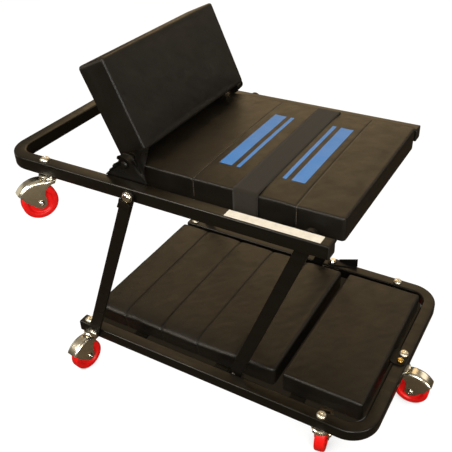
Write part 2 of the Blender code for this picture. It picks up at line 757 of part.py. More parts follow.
def fork_mesh():
    """Stamped caster fork about its swivel axis, trailing along +X."""
    hood = hood_radius()
    crown = crown_level()
    lead = -CASTER_TRAIL - CROWN_RADIUS
    eye = FORK_EYE_RADIUS
    profile = [(lead, crown)] + arc((0, 0), hood, hood_start(hood, crown), 33, 7)
    profile += [(0.92 * profile[-1][0], 0.86 * profile[-1][1])] + arc((0, 0), eye, -50, -175, 5)
    profile += [(-0.85 * eye, 0.45 * crown), (-1.1 * eye, 0.62 * crown), (-CASTER_TRAIL, 0.74 * crown)]
    profile += [(lead, crown - 2.2 * HOOD_PLATE)]
    inside = hood - HOOD_PLATE
    under = crown - HOOD_PLATE
    beyond = lead - CROWN_RADIUS
    hollow = [(beyond, under)] + arc((0, 0), inside, hood_start(inside, under), -20, 9)
    hollow += [(inside, -hood), (beyond, -hood)]
    half = FORK_WIDTH / 2
    shape = bmesh.new()
    prism(shape, profile, -half, half, 1)
    cut = bmesh.new()
    prism(cut, hollow, FORK_PLATE - half, half - FORK_PLATE, 1)
    race = bmesh.new()
    swivel = (-CASTER_TRAIL, 0, 0)
    low = crown - HOOD_PLATE / 2
    top = AXLE_DROP - RACE_HEIGHT - 2 * CLEAR
    race_profile = ((0, low), (CROWN_RADIUS, low), (CROWN_RADIUS, (crown + top) / 2),
                    (0.82 * CROWN_RADIUS, top), (0, top))
    turned(race, race_profile, swivel, (0, 0, 1), (1, 0, 0), 2 * ROUND)
    drills = bmesh.new()
    peg(drills, swivel, (0, 0, 1), STEM_RADIUS + HOLE_CLEAR, under - HOOD_PLATE, AXLE_DROP)
    peg(drills, (0, 0, 0), (0, 1, 0), AXLE_RADIUS + HOLE_CLEAR, -FORK_WIDTH, FORK_WIDTH)
    shape = boolean(shape, cut, "DIFFERENCE")
    shape = boolean(boolean(shape, race, "UNION"), drills, "DIFFERENCE")
    bmesh.ops.translate(shape, vec=(CASTER_TRAIL, 0, -AXLE_DROP), verts=shape.verts[:])
    return to_mesh("caster_fork", shape)


def wheel_mesh():
    """Caster wheel about its axle, with dished sides and a plain tread."""
    half = WHEEL_WIDTH / 2
    radius = wheel_radius()
    dish = 0.33 * half
    hub = (FORK_WIDTH / 2 - FORK_PLATE + half) / 2
    side = [(AXLE_RADIUS + HOLE_CLEAR, hub), (2.3 * AXLE_RADIUS, hub), (2.8 * AXLE_RADIUS, half - dish),
            (0.69 * radius, half - dish), (0.75 * radius, half), (0.94 * radius, half), (radius, 0.68 * half)]
    profile = side + [(r, -y) for r, y in reversed(side)]
    shape = bmesh.new()
    turned(shape, profile, (0, 0, 0), (0, 1, 0), (0, 0, -1), WHEEL_FACETS, bored=True)
    return to_mesh("caster_wheel", shape)


def axle_mesh():
    """Riveted axle of a caster, about the swivel axis."""
    seat = FORK_WIDTH / 2 + CLEAR
    head = 1.45 * AXLE_RADIUS
    end = seat + 0.8 * AXLE_RADIUS
    profile = ((0, -end), (0.7 * head, -end), (head, -seat), (AXLE_RADIUS, -seat),
               (AXLE_RADIUS, seat), (head, seat), (0.7 * head, end), (0, end))
    shape = bmesh.new()
    turned(shape, profile, (CASTER_TRAIL, 0, -AXLE_DROP), (0, 1, 0), (1, 0, 0))
    return to_mesh("caster_axle", shape)


def stem_bolt(place, foot, races, seat):
    """Upright bolt with a riveted foot, any fixed races on its shank and a domed head on its seat."""
    shape = bmesh.new()
    profile = [(0, foot - RIVET_HEIGHT), (RIVET_RADIUS, foot - RIVET_HEIGHT), (RIVET_RADIUS, foot),
               (STEM_RADIUS, foot)]
    for top in races:
        low = top - RACE_HEIGHT
        profile += [(STEM_RADIUS, low), (RACE_RADIUS, low), (RACE_RADIUS, top), (STEM_RADIUS, top)]
    profile += [(STEM_RADIUS, seat), (STEM_HEAD_RADIUS, seat), (STEM_HEAD_RADIUS, seat + 0.45 * STEM_HEAD),
                (0.7 * STEM_HEAD_RADIUS, seat + STEM_HEAD), (0, seat + STEM_HEAD)]
    turned(shape, profile, (place[0], place[1], 0), (0, 0, 1), (1, 0, 0))
    return shape


def add_casters(frame, casters, bottom, meshes, finishes):
    """Hang swivel casters under a frame, each on the stem bolted through its rail."""
    foot = bottom - AXLE_DROP + crown_level() - HOOD_PLATE - CLEAR
    for name, place, heading, seat in casters:
        frame.add(name + "_stem", stem_bolt(place, foot, [bottom - CLEAR], seat), finishes["chrome"])
        swivel = Body(name + "_swivel", (place[0], place[1], bottom), frame, heading)
        swivel.add_mesh(name + "_fork", meshes["fork"], finishes["zinc"])
        swivel.add_mesh(name + "_axle", meshes["axle"], finishes["steel"])
        spin = Body(name + "_spin", swivel.pivot + Vector((CASTER_TRAIL, 0, -AXLE_DROP)), swivel)
        spin.add_mesh(name + "_wheel", meshes["wheel"], finishes["red"])


def lock_lever():
    """Lock lever on top of the far rail: an eye plate with an upright grip along its outer edge."""
    shape = bmesh.new()
    low = LOCK_POINT.z + CLEAR
    end = LOCK_POINT.x + LOCK_REACH
    outline = arc((LOCK_POINT.x, LOCK_POINT.y), LOCK_EYE_RADIUS, 90, 300, 10)
    outline += [(end, LOCK_POINT.y + TUBE / 6), (end, RAIL_OUT), (LOCK_POINT.x, RAIL_OUT)]
    prism(shape, outline, low, low + LOCK_PLATE, 2)
    grip = bmesh.new()
    start = LOCK_POINT.x + LOCK_EYE_RADIUS
    stop = end - CLEAR
    profile = ((start, low + CLEAR), (stop, low + CLEAR), (stop, LOCK_POINT.z + LOCK_WEDGE_HIGH),
               (start, LOCK_POINT.z + LOCK_WEDGE_LOW))
    prism(grip, profile, RAIL_OUT - LOCK_PLATE, RAIL_OUT - CLEAR, 1)
    drill = bmesh.new()
    stem_drill(drill, LOCK_POINT, low, low + LOCK_PLATE)
    return boolean(boolean(shape, grip, "UNION"), drill, "DIFFERENCE")


def brass_drill(shape, place):
    """Drill the top of the foot bar and the keeper for the brass screw beside the middle stem."""
    centre = (place[0], place[1] - BRASS_OFFSET, LOW_TOP)
    peg(shape, centre, (0, 0, 1), BRASS_SHANK_RADIUS + HOLE_CLEAR, -TUBE / 2, 2 * KEEPER_PLATE)


def keeper_plate(place):
    """Keeper plate on the foot bar, round the middle caster's stem and the brass screw."""
    shape = bmesh.new()
    low = (LOWER_LENGTH - TUBE - KEEPER_OVERHANG, -KEEPER_NEAR)
    high = (LOWER_LENGTH - TUBE / 8, KEEPER_FAR)
    outline = rounded_box_outline(low, high, KEEPER_ROUND, 4)
    prism(shape, outline, LOW_TOP + CLEAR, LOW_TOP + CLEAR + KEEPER_PLATE, 2)
    drills = bmesh.new()
    stem_drill(drills, place, LOW_TOP, LOW_TOP + KEEPER_PLATE)
    brass_drill(drills, place)
    return boolean(shape, drills, "DIFFERENCE")


def brass_screw(place):
    """Brass screw that holds the keeper plate to the foot bar."""
    shape = bmesh.new()
    seat = LOW_TOP + 2 * CLEAR + KEEPER_PLATE
    profile = ((0, -BRASS_SHANK), (BRASS_SHANK_RADIUS, -BRASS_SHANK), (BRASS_SHANK_RADIUS, 0),
               (BRASS_RADIUS, 0), (BRASS_RADIUS, 0.7 * BRASS_HEAD), (0.8 * BRASS_RADIUS, BRASS_HEAD),
               (0, BRASS_HEAD))
    turned(shape, profile, (place[0], place[1] - BRASS_OFFSET, seat), (0, 0, 1), (1, 0, 0))
    return shape


def stand_on_origin(root):
    """Move the model so that its box stands centred on the origin."""
    bpy.context.view_layer.update()
    corners = []
    for item in bpy.data.objects:
        if item.type == "MESH":
            corners += [item.matrix_world @ vertex.co for vertex in item.data.vertices]
    low = [min(corner[axis] for corner in corners) for axis in range(3)]
    high = [max(corner[axis] for corner in corners) for axis in range(3)]
    root.empty.location = (-(low[0] + high[0]) / 2, -(low[1] + high[1]) / 2, -low[2])
    bpy.context.view_layer.update()


def build_lower(lower, meshes, finishes):
    """Lower frame with its pads, bolts, keeper and casters."""
    foot_x = LOWER_LENGTH - CASTER_FROM_FOOT
    centre = (LOWER_LENGTH - TUBE / 2, 0.0)
    seat = LOW_TOP + CLEAR
    casters = []
    for tag, side in SIDES:
        place = (CASTER_FROM_OPEN_END, side * RAIL_Y)
        casters.append(("open_end_caster_" + tag, place, -side * OPEN_CASTER_HEADING, seat))
        place = (foot_x, side * RAIL_Y)
        casters.append(("foot_caster_" + tag, place, -side * FOOT_CASTER_HEADING, seat))
    casters.append(("centre_caster", centre, CENTRE_CASTER_HEADING, seat + CLEAR + KEEPER_PLATE))
    drills = bmesh.new()
    for place in [caster[1] for caster in casters] + [LOCK_POINT]:
        stem_drill(drills, place, LOW_BOTTOM, LOW_TOP)
    pivot_drill(drills, OUTER_LOW_PIVOT, RAIL_OUT, -1, HOLE_CLEAR)
    pivot_drill(drills, INNER_LOW_PIVOT, RAIL_IN, 1, HOLE_CLEAR)
    brass_drill(drills, centre)
    welded = bmesh.new()
    main_end = MAIN_PAD_INSET + MAIN_PAD_LENGTH
    strap_places = (MAIN_PAD_INSET + STRAP_END_MARGIN, main_end - STRAP_END_MARGIN,
                    foot_x - FOOT_STRAP_FROM_CASTER)
    add_straps(welded, strap_places, LOW_BOTTOM)
    add_stops(welded)
    frame = frame_weldment(PLUG_FLANGE, LOWER_LENGTH, LOW_MID, welded, drills)
    lower.add("lower_frame_weldment", frame, finishes["paint"])
    for tag, side in SIDES:
        lower.add("lower_plug_" + tag, end_plug(PLUG_FLANGE, -1, LOW_MID, side), finishes["plastic"])
        lower.add("lower_fold_bolt_" + tag, fold_bolt(OUTER_LOW_PIVOT, side), finishes["chrome"])
    lower.add("back_pad_board", pad_board(MAIN_PAD_INSET, MAIN_PAD_LENGTH, LOW_BOTTOM), finishes["ply"])
    back = flat_pad(MAIN_PAD_INSET, MAIN_PAD_LENGTH, LOW_BOTTOM, MAIN_PAD_SEAMS)
    lower.add("back_pad", back, finishes["vinyl"])
    lower.add("foot_pad_board", pad_board(FOOT_PAD_START, FOOT_PAD_LENGTH, LOW_BOTTOM), finishes["ply"])
    lower.add("foot_pad", flat_pad(FOOT_PAD_START, FOOT_PAD_LENGTH, LOW_BOTTOM), finishes["vinyl"])
    lower.add("keeper_plate", keeper_plate(centre), finishes["paint"])
    lower.add("keeper_screw", brass_screw(centre), finishes["brass"])
    bolt = stem_bolt(LOCK_POINT, LOW_BOTTOM - CLEAR, [], LOCK_POINT.z + 2 * CLEAR + LOCK_PLATE)
    lower.add("lock_bolt", bolt, finishes["chrome"])
    add_casters(lower, casters, LOW_BOTTOM, meshes, finishes)


def build_upper(upper, meshes, finishes):
    """Upper frame with the seat, its elastic band, the hinge brackets and its casters."""
    casters = []
    for tag, side in SIDES:
        place = (UPPER_HEAD + CASTER_FROM_HEAD, side * RAIL_Y)
        casters.append(("head_caster_" + tag, place, -side * HEAD_CASTER_HEADING, UP_TOP + CLEAR))
    drills = bmesh.new()
    for caster in casters:
        stem_drill(drills, caster[1], UP_BOTTOM, UP_TOP)
    pivot_drill(drills, OUTER_TOP_PIVOT, RAIL_OUT, -1, HOLE_CLEAR)
    pivot_drill(drills, INNER_TOP_PIVOT, RAIL_IN, 1, OPEN_PIVOT_CLEAR)
    welded = bmesh.new()
    add_straps(welded, (SEAT_REAR + SEAT_STRAP_REAR, SEAT_FRONT - SEAT_STRAP_FRONT), UP_BOTTOM)
    open_end = UPPER_OPEN - PLUG_FLANGE
    frame = frame_weldment(open_end, UPPER_HEAD, UP_MID, welded, drills)
    upper.add("upper_frame_weldment", frame, finishes["paint"])
    for tag, side in SIDES:
        upper.add("upper_plug_" + tag, end_plug(open_end, 1, UP_MID, side), finishes["plastic"])
        upper.add("upper_fold_bolt_" + tag, fold_bolt(OUTER_TOP_PIVOT, side), finishes["chrome"])
        upper.add("headrest_bracket_" + tag, hinge_bracket(side), finishes["paint"])
        upper.add("headrest_bolt_" + tag, hinge_bolt(side), finishes["paint"])
    upper.add("seat_board", pad_board(SEAT_REAR, SEAT_LENGTH, UP_BOTTOM), finishes["ply"])
    upper.add("seat_pad", flat_pad(SEAT_REAR, SEAT_LENGTH, UP_BOTTOM, SEAT_SEAMS), finishes["vinyl"])
    upper.add("seat_elastic_band", seat_band(), finishes["elastic"])
    add_casters(upper, casters, UP_BOTTOM, meshes, finishes)


def main():
    """Build the creeper."""
    clear_scene()
    finishes = {name: make_finish(name, *values) for name, values in FINISHES.items()}
    root = Body("creeper", (0, 0, 0))
    lower = Body("lower_frame", (0, 0, 0), root)
    outer = Body("outer_links", OUTER_LOW_PIVOT, lower)
    upper = Body("upper_frame", OUTER_TOP_PIVOT, outer)
    inner = Body("inner_links", INNER_LOW_PIVOT, lower)
    headrest = Body("headrest", SEAT_HINGE, upper)
    lock = Body("lock", LOCK_POINT, lower)
    meshes = {"fork": fork_mesh(), "wheel": wheel_mesh(), "axle": axle_mesh()}
    build_lower(lower, meshes, finishes)
    build_upper(upper, meshes, finishes)
    for tag, side in SIDES:
        outer.add("outer_link_" + tag, outer_link(side), finishes["paint"])
        inner.add("inner_link_" + tag, inner_link(side), finishes["paint"])
    headrest.add("headrest_pad", headrest_pad(), finishes["vinyl"])
    headrest.add("headrest_board", headrest_board(), finishes["ply"])
    headrest.add("headrest_hinge_plate", headrest_hinge_plate(), finishes["paint"])
    lock.add("lock_lever", lock_lever(), finishes["paint"])
    stand_on_origin(root)


if __name__ == "__main__":
    main()
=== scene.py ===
"""Looks of a folding workshop creeper that stands as a rolling seat.

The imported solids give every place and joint. The frames, links, casters, bolts and pads are dressed here with
smooth bends, stamped caster forks, sewn and inflated pads, thread, screws and procedural finishes.
"""
import json
import logging
import math
from dataclasses import dataclass
from enum import Enum
from typing import Callable, Optional, Sequence

import bmesh
import bpy
import numpy as np
from mathutils import Matrix, Vector, noise
from mathutils.bvhtree import BVHTree
from mathutils.kdtree import KDTree


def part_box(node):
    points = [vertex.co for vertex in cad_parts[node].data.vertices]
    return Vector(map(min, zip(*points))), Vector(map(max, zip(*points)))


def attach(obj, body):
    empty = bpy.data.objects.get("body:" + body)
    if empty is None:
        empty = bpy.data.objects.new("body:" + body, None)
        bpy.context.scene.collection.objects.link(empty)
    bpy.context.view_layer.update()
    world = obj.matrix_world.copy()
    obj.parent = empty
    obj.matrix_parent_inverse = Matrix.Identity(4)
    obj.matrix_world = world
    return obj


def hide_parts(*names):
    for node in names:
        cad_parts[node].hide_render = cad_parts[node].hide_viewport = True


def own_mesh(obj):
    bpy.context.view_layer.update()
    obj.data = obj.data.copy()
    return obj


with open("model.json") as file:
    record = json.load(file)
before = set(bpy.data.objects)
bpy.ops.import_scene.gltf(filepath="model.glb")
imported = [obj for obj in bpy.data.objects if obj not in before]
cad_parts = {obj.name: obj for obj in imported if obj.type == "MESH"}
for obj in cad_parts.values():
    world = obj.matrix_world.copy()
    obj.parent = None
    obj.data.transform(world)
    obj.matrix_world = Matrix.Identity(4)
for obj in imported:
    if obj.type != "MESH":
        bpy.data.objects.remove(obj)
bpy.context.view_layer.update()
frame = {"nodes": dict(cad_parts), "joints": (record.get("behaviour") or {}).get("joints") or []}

LOG = logging.getLogger("creeper")
Triple = tuple[float, float, float]
Colour = Triple
Point = tuple[float, float]
Ring = Sequence[bmesh.types.BMVert]
Shape = bmesh.types.BMesh
Mesh = bpy.types.Mesh
Socket = bpy.types.NodeSocket
# Gap that touching meshes keep
CLEAR = 0.0003


class Slot(Enum):
    """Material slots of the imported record."""

    PAINT = "paint"
    PLASTIC = "plastic"
    VINYL = "vinyl"
    ELASTIC = "elastic"
    PLY = "ply"
    ZINC = "zinc"
    CHROME = "chrome"
    STEEL = "steel"
    BRASS = "brass"
    RED = "red"


class Side(Enum):
    """The two sides of the creeper; the near side faces the camera."""

    NEAR = -1
    FAR = 1

    @property
    def tag(self) -> str:
        """Ending of the node names on this side."""
        return self.name.lower()


class Wires:
    """Wires the nodes of one shader tree."""

    def __init__(self, tree: bpy.types.NodeTree) -> None:
        """Take up a tree.

        Args:
            tree: The tree to wire.
        """
        self.tree = tree
        self.nodes = tree.nodes

    def link(self, out: Socket, into: Socket) -> None:
        """Join two sockets."""
        self.tree.links.new(out, into)

    def give(self, value: object, into: Socket) -> None:
        """Link a socket to an input, or set the input to a plain value."""
        if isinstance(value, Socket):
            self.link(value, into)
        else:
            into.default_value = value

    def split(self, vector: Socket, index: int) -> Socket:
        """One part of a vector: 0, 1 or 2 for X, Y or Z."""
        node = self.nodes.new("ShaderNodeSeparateXYZ")
        self.link(vector, node.inputs[0])
        return node.outputs[index]

    def remap(self, value: Socket, low: float, high: float, new_low: float = 0.0,
              new_high: float = 1.0) -> Socket:
        """Map a value from one range to another, clamped.

        Args:
            value: Value to map.
            low: Low end of the old range.
            high: High end of the old range.
            new_low: Low end of the new range.
            new_high: High end of the new range.

        Returns:
            The mapped value.
        """
        node = self.nodes.new("ShaderNodeMapRange")
        limits = {"From Min": low, "From Max": high, "To Min": new_low, "To Max": new_high}
        for name, number in limits.items():
            node.inputs[name].default_value = number
        self.link(value, node.inputs["Value"])
        return node.outputs["Result"]

    def maths(self, operation: str, first: Socket, second: object = 0.0) -> Socket:
        """One sum on one or two values.

        Args:
            operation: Name of the sum.
            first: First value.
            second: Second value, a socket or a number.

        Returns:
            The result.
        """
        node = self.nodes.new("ShaderNodeMath")
        node.operation = operation
        self.link(first, node.inputs[0])
        self.give(second, node.inputs[1])
        return node.outputs[0]

    def blend(self, factor: Socket, first: object, second: object) -> Socket:
        """Mix two colours by a factor.

        Args:
            factor: Share of the second colour.
            first: First colour, a socket or a colour.
            second: Second colour, a socket or a colour.

        Returns:
            The mixed colour.
        """
        node = self.nodes.new("ShaderNodeMix")
        node.data_type = "RGBA"
        self.link(factor, node.inputs[0])
        for into, colour in ((node.inputs[6], first), (node.inputs[7], second)):
            self.give(colour if isinstance(colour, Socket) else (*colour, 1.0), into)
        return node.outputs[2]


class ShaderTree(Wires):
    """Wires the nodes of one material round its Principled shader."""

    def __init__(self, name: str) -> None:
        """Start a material.

        Args:
            name: Name of the material.
        """
        self.material = bpy.data.materials.new(name)
        self.material.use_nodes = True
        super().__init__(self.material.node_tree)
        self.shader = self.nodes["Principled BSDF"]
        self.coords = self.nodes.new("ShaderNodeTexCoord").outputs["Object"]

    def set(self, **values: object) -> None:
        """Set plain values on the shader's own sockets.

        Args:
            values: Socket names, with underscores for spaces, and their values.
        """
        for name, value in values.items():
            self.shader.inputs[name.replace("_", " ")].default_value = value

    def mapped(self, scale: Sequence[float], turn: Sequence[float] = (0, 0, 0)) -> Socket:
        """Object coordinates, scaled and turned.

        Args:
            scale: Scale along each axis.
            turn: Rotation about each axis in degrees.

        Returns:
            The mapped vector.
        """
        node = self.nodes.new("ShaderNodeMapping")
        node.inputs["Scale"].default_value = scale
        node.inputs["Rotation"].default_value = [math.radians(angle) for angle in turn]
        self.link(self.coords, node.inputs["Vector"])
        return node.outputs["Vector"]

    def noise(self, scale: float, detail: float = 3.0, rough: float = 0.55,
              vector: Optional[Socket] = None) -> Socket:
        """Noise over the surface.

        Args:
            scale: Repeats per metre.
            detail: Number of finer layers.
            rough: Strength of the finer layers.
            vector: Coordinates, or the object's own.

        Returns:
            The noise value.
        """
        node = self.nodes.new("ShaderNodeTexNoise")
        node.inputs["Scale"].default_value = scale
        node.inputs["Detail"].default_value = detail
        node.inputs["Roughness"].default_value = rough
        self.link(vector or self.coords, node.inputs["Vector"])
        return node.outputs["Fac"]

    def cells(self, scale: float) -> Socket:
        """Distance to the edges of small irregular cells, as on embossed vinyl.

        Args:
            scale: Cells per metre.

        Returns:
            The distance value.
        """
        node = self.nodes.new("ShaderNodeTexVoronoi")
        node.feature = "DISTANCE_TO_EDGE"
        node.inputs["Scale"].default_value = scale
        self.link(self.coords, node.inputs["Vector"])
        return node.outputs["Distance"]

    def axis(self, index: int) -> Socket:
        """One object coordinate in metres: 0, 1 or 2 for X, Y or Z."""
        return self.split(self.coords, index)

    def normal(self, index: int) -> Socket:
        """One part of the surface normal."""
        return self.split(self.nodes.new("ShaderNodeNewGeometry").outputs["True Normal"], index)

    def colour(self, socket: Socket) -> None:
        """Drive the base colour."""
        self.link(socket, self.shader.inputs["Base Color"])

    def roughness(self, socket: Socket) -> None:
        """Drive the roughness."""
        self.link(socket, self.shader.inputs["Roughness"])

    def bump(self, height: Socket, depth: float, strength: float = 1.0) -> None:
        """Add a bump to the surface, over any bump already there.

        Args:
            height: Height value from 0 to 1.
            depth: Height of the bump in metres.
            strength: Share of the bump that shows.
        """
        node = self.nodes.new("ShaderNodeBump")
        node.inputs["Strength"].default_value = strength
        node.inputs["Distance"].default_value = depth
        self.link(height, node.inputs["Height"])
        into = self.shader.inputs["Normal"]
        if into.links:
            self.link(into.links[0].from_socket, node.inputs["Normal"])
        self.link(node.outputs["Normal"], into)


@dataclass(frozen=True)
class Finish:
    """A surface finish: plain values that every finish has, and the detail that its kind adds."""

    name: str
    slot: Slot
    colour: Colour
    roughness: float
    metallic: float = 0.0
    specular: float = 0.5

    def material(self) -> bpy.types.Material:
        """Give the finish's material, made on first use.

        Returns:
            The material.
        """
        found = bpy.data.materials.get(self.name)
        if found is not None:
            return found
        tree = ShaderTree(self.name)
        tree.set(Metallic=self.metallic, Base_Color=(*self.colour, 1.0), Roughness=self.roughness,
                 Specular_IOR_Level=self.specular)
        self.dress(tree)
        return tree.material

    def dress(self, tree: ShaderTree) -> None:
        """Add the detail of this kind of finish."""

    def tint(self, factor: float) -> Colour:
        """The finish's colour, made lighter or darker by a factor."""
        return tuple(min(1.0, channel * factor) for channel in self.colour)


@dataclass(frozen=True)
class Paint(Finish):
    """Sprayed enamel on steel: orange peel, a warm tint on what faces up that is a little dust and painted top
    light, and faint rub marks.
    """

    # Warm brown tint on what faces up: a little dust, with painted top light
    dust_and_top_light: Colour = (0.020, 0.015, 0.008)

    def dress(self, tree: ShaderTree) -> None:
        """Wire peel, dust with painted top light, and rub marks."""
        facing = tree.remap(tree.normal(2), 0.5, 1.0, 0.0, 0.6)
        drift = tree.remap(tree.noise(38, 5), 0.35, 0.75, 0.25, 1.0)
        # Painted top light: faces that point up turn warm brown, as if lit from above, mixed with a little dust
        tree.colour(tree.blend(tree.maths("MULTIPLY", facing, drift), self.colour, self.dust_and_top_light))
        rubs = tree.noise(90, 4, vector=tree.mapped((0.15, 1.0, 1.0)))
        tree.roughness(tree.remap(rubs, 0.3, 0.75, self.roughness - 0.06, self.roughness + 0.16))
        tree.bump(tree.noise(700, 2), 0.00012, 0.35)


@dataclass(frozen=True)
class Vinyl(Finish):
    """Embossed upholstery vinyl, with fine cells, soft creases and, on one pad, plain printed stripes."""

    # Warm brown tint on what faces up: a little dust, with painted top light
    dust_and_top_light: Colour = (0.017, 0.0125, 0.007)
    ink: Optional[Colour] = None
    stripes: tuple[tuple[float, float, float, float], ...] = ()

    def dress(self, tree: ShaderTree) -> None:
        """Wire the dust and painted top light on what faces up, the grain, the creases, the sheen of handling
        and any stripes.
        """
        drift = tree.remap(tree.noise(14, 4), 0.3, 0.7, 0.15, 1.0)
        facing = tree.remap(tree.normal(2), 0.2, 1.0, 0.0, 0.8)
        # Painted top light: faces that point up turn warm brown, as if lit from above, mixed with a little dust
        base = tree.blend(tree.maths("MULTIPLY", facing, drift), self.colour, self.dust_and_top_light)
        for low_x, high_x, low_y, high_y in self.stripes:
            mask = None
            for index, low, high in ((0, low_x, high_x), (1, low_y, high_y)):
                inside = tree.maths("MULTIPLY", tree.maths("GREATER_THAN", tree.axis(index), low),
                                    tree.maths("LESS_THAN", tree.axis(index), high))
                mask = inside if mask is None else tree.maths("MULTIPLY", mask, inside)
            mask = tree.maths("MULTIPLY", mask, tree.maths("GREATER_THAN", tree.normal(2), 0.6))
            worn = tree.remap(tree.noise(900, 3), 0.24, 0.4, 0.55, 1.0)
            base = tree.blend(tree.maths("MULTIPLY", mask, worn), base, self.ink)
        tree.colour(base)
        cells = tree.cells(1250)
        tree.roughness(tree.remap(tree.noise(30, 4), 0.3, 0.75, self.roughness - 0.07, self.roughness + 0.1))
        tree.bump(tree.remap(cells, 0.0, 0.14, 0.0, 1.0), 0.00012, 0.45)
        tree.bump(tree.noise(55, 3, vector=tree.mapped((1.0, 1.7, 1.0), (0, 0, 25))), 0.0009, 0.3)


@dataclass(frozen=True)
class Webbing(Finish):
    """Woven elastic: fine ribs along the band, crossed by the weft."""

    rib: float = 0.0013
    weft: float = 0.0021

    def dress(self, tree: ShaderTree) -> None:
        """Wire the two directions of the weave."""
        across = tree.axis(0)
        along = tree.maths("ADD", tree.axis(1), tree.axis(2))
        rib = tree.maths("SINE", tree.maths("MULTIPLY", across, 2 * math.pi / self.rib))
        weft = tree.maths("SINE", tree.maths("MULTIPLY", along, 2 * math.pi / self.weft))
        weave = tree.remap(tree.maths("MULTIPLY", rib, weft), -1.0, 1.0, 0.0, 1.0)
        fuzz = tree.maths("MULTIPLY", weave, tree.remap(tree.noise(420, 4), 0.3, 0.7, 0.45, 1.4))
        tree.colour(tree.blend(fuzz, self.tint(0.55), self.tint(1.35)))
        tree.bump(weave, 0.0003, 0.6)
        tree.set(Sheen_Weight=0.08, Sheen_Roughness=0.6)


@dataclass(frozen=True)
class Metal(Finish):
    """Bare or plated metal with cloudy plating and fine scratches."""

    cloud: float = 60.0
    scratch: float = 0.06

    def dress(self, tree: ShaderTree) -> None:
        """Wire the clouds and scratches."""
        clouds = tree.noise(self.cloud, 4)
        tree.colour(tree.blend(tree.remap(clouds, 0.3, 0.7, 0.0, 1.0), self.tint(0.93), self.tint(1.05)))
        lines = tree.noise(420, 3, vector=tree.mapped((1.0, 0.12, 0.4), (12, 25, 40)))
        tree.roughness(tree.remap(lines, 0.3, 0.75, self.roughness, self.roughness + self.scratch))


@dataclass(frozen=True)
class Moulded(Finish):
    """Moulded plastic or urethane with a slight mottle and a fine skin."""

    grain: float = 900.0
    depth: float = 0.00008

    def dress(self, tree: ShaderTree) -> None:
        """Wire the mottle and the skin."""
        mottle = tree.remap(tree.noise(85, 4), 0.3, 0.72, 0.0, 1.0)
        tree.colour(tree.blend(mottle, self.tint(0.88), self.tint(1.06)))
        skin = tree.noise(160, 3)
        tree.roughness(tree.remap(skin, 0.3, 0.75, self.roughness - 0.05, self.roughness + 0.12))
        tree.bump(tree.noise(self.grain, 2), self.depth, 0.5)


@dataclass(frozen=True)
class Plywood(Finish):
    """Board wrapped in vinyl round its edges, with bare plywood on the middle of its underside."""

    wood: Colour = (0.36, 0.23, 0.11)
    half_width: float = 0.140

    def dress(self, tree: ShaderTree) -> None:
        """Wire the wood grain and the wrapped margin."""
        grain = tree.noise(18, 6, 0.65, vector=tree.mapped((1.0, 9.0, 9.0)))
        wood = tree.blend(tree.remap(grain, 0.3, 0.7, 0.0, 1.0), tuple(c * 0.6 for c in self.wood), self.wood)
        under = tree.maths("LESS_THAN", tree.normal(2), -0.9)
        middle = tree.maths("LESS_THAN", tree.maths("ABSOLUTE", tree.axis(1)), self.half_width)
        tree.colour(tree.blend(tree.maths("MULTIPLY", under, middle), self.colour, wood))
        tree.bump(grain, 0.0002, 0.4)


BLACK_PAINT = Paint("black_enamel", Slot.PAINT, (0.0040, 0.0032, 0.0023), 0.30, specular=0.34)
# Painted shade: a darker, duller copy of the black paint, with no warm top light, for the lock lever and keeper
# plate
PAINTED_SHADE_BLACK = Paint("plain_black", Slot.PAINT, (0.0030, 0.0025, 0.0020), 0.45, specular=0.25,
                    dust_and_top_light=(0.0030, 0.0025, 0.0020))
BLACK_VINYL = Vinyl("black_vinyl", Slot.VINYL, (0.0050, 0.0041, 0.0030), 0.40, specular=0.38)
SEAT_VINYL = Vinyl("black_vinyl_striped", Slot.VINYL, (0.0050, 0.0041, 0.0030), 0.40, specular=0.38,
                   ink=(0.050, 0.23, 0.64),
                   stripes=((0.006, 0.030, -0.105, 0.105), (0.039, 0.046, -0.105, 0.105),
                            (0.124, 0.131, -0.105, 0.105), (0.140, 0.164, -0.105, 0.105)))
WRAPPED_BOARD = Plywood("wrapped_board", Slot.PLY, (0.010, 0.0085, 0.0065), 0.6, specular=0.25)
BLACK_PLASTIC = Moulded("black_plastic", Slot.PLASTIC, (0.0095, 0.0085, 0.0070), 0.42, specular=0.4)
GREY_ELASTIC = Webbing("grey_elastic", Slot.ELASTIC, (0.0190, 0.0150, 0.0102), 0.85, specular=0.2)
ZINC_PLATE = Metal("zinc_plate", Slot.ZINC, (0.90, 0.85, 0.72), 0.20, 1.0)
BRIGHT_ZINC = Metal("bright_zinc", Slot.CHROME, (0.90, 0.86, 0.74), 0.33, 1.0)
CHROME_PLATE = Metal("chrome_plate", Slot.CHROME, (0.86, 0.83, 0.75), 0.15, 1.0)
PLAIN_STEEL = Metal("plain_steel", Slot.STEEL, (0.45, 0.44, 0.41), 0.30, 1.0)
BRASS_METAL = Metal("yellow_brass", Slot.BRASS, (0.66, 0.44, 0.13), 0.22, 1.0)
RED_URETHANE = Moulded("red_urethane", Slot.RED, (0.86, 0.010, 0.009), 0.34, specular=0.32)
DARK_THREAD = Moulded("dark_thread", Slot.VINYL, (0.030, 0.026, 0.020), 0.7, specular=0.2, grain=2600)
PALE_THREAD = Moulded("pale_thread", Slot.VINYL, (0.16, 0.14, 0.105), 0.7, specular=0.2, grain=2600)
BLANK_PAPER = Moulded("blank_paper", Slot.PLASTIC, (0.86, 0.83, 0.76), 0.42, specular=0.4, grain=1800)


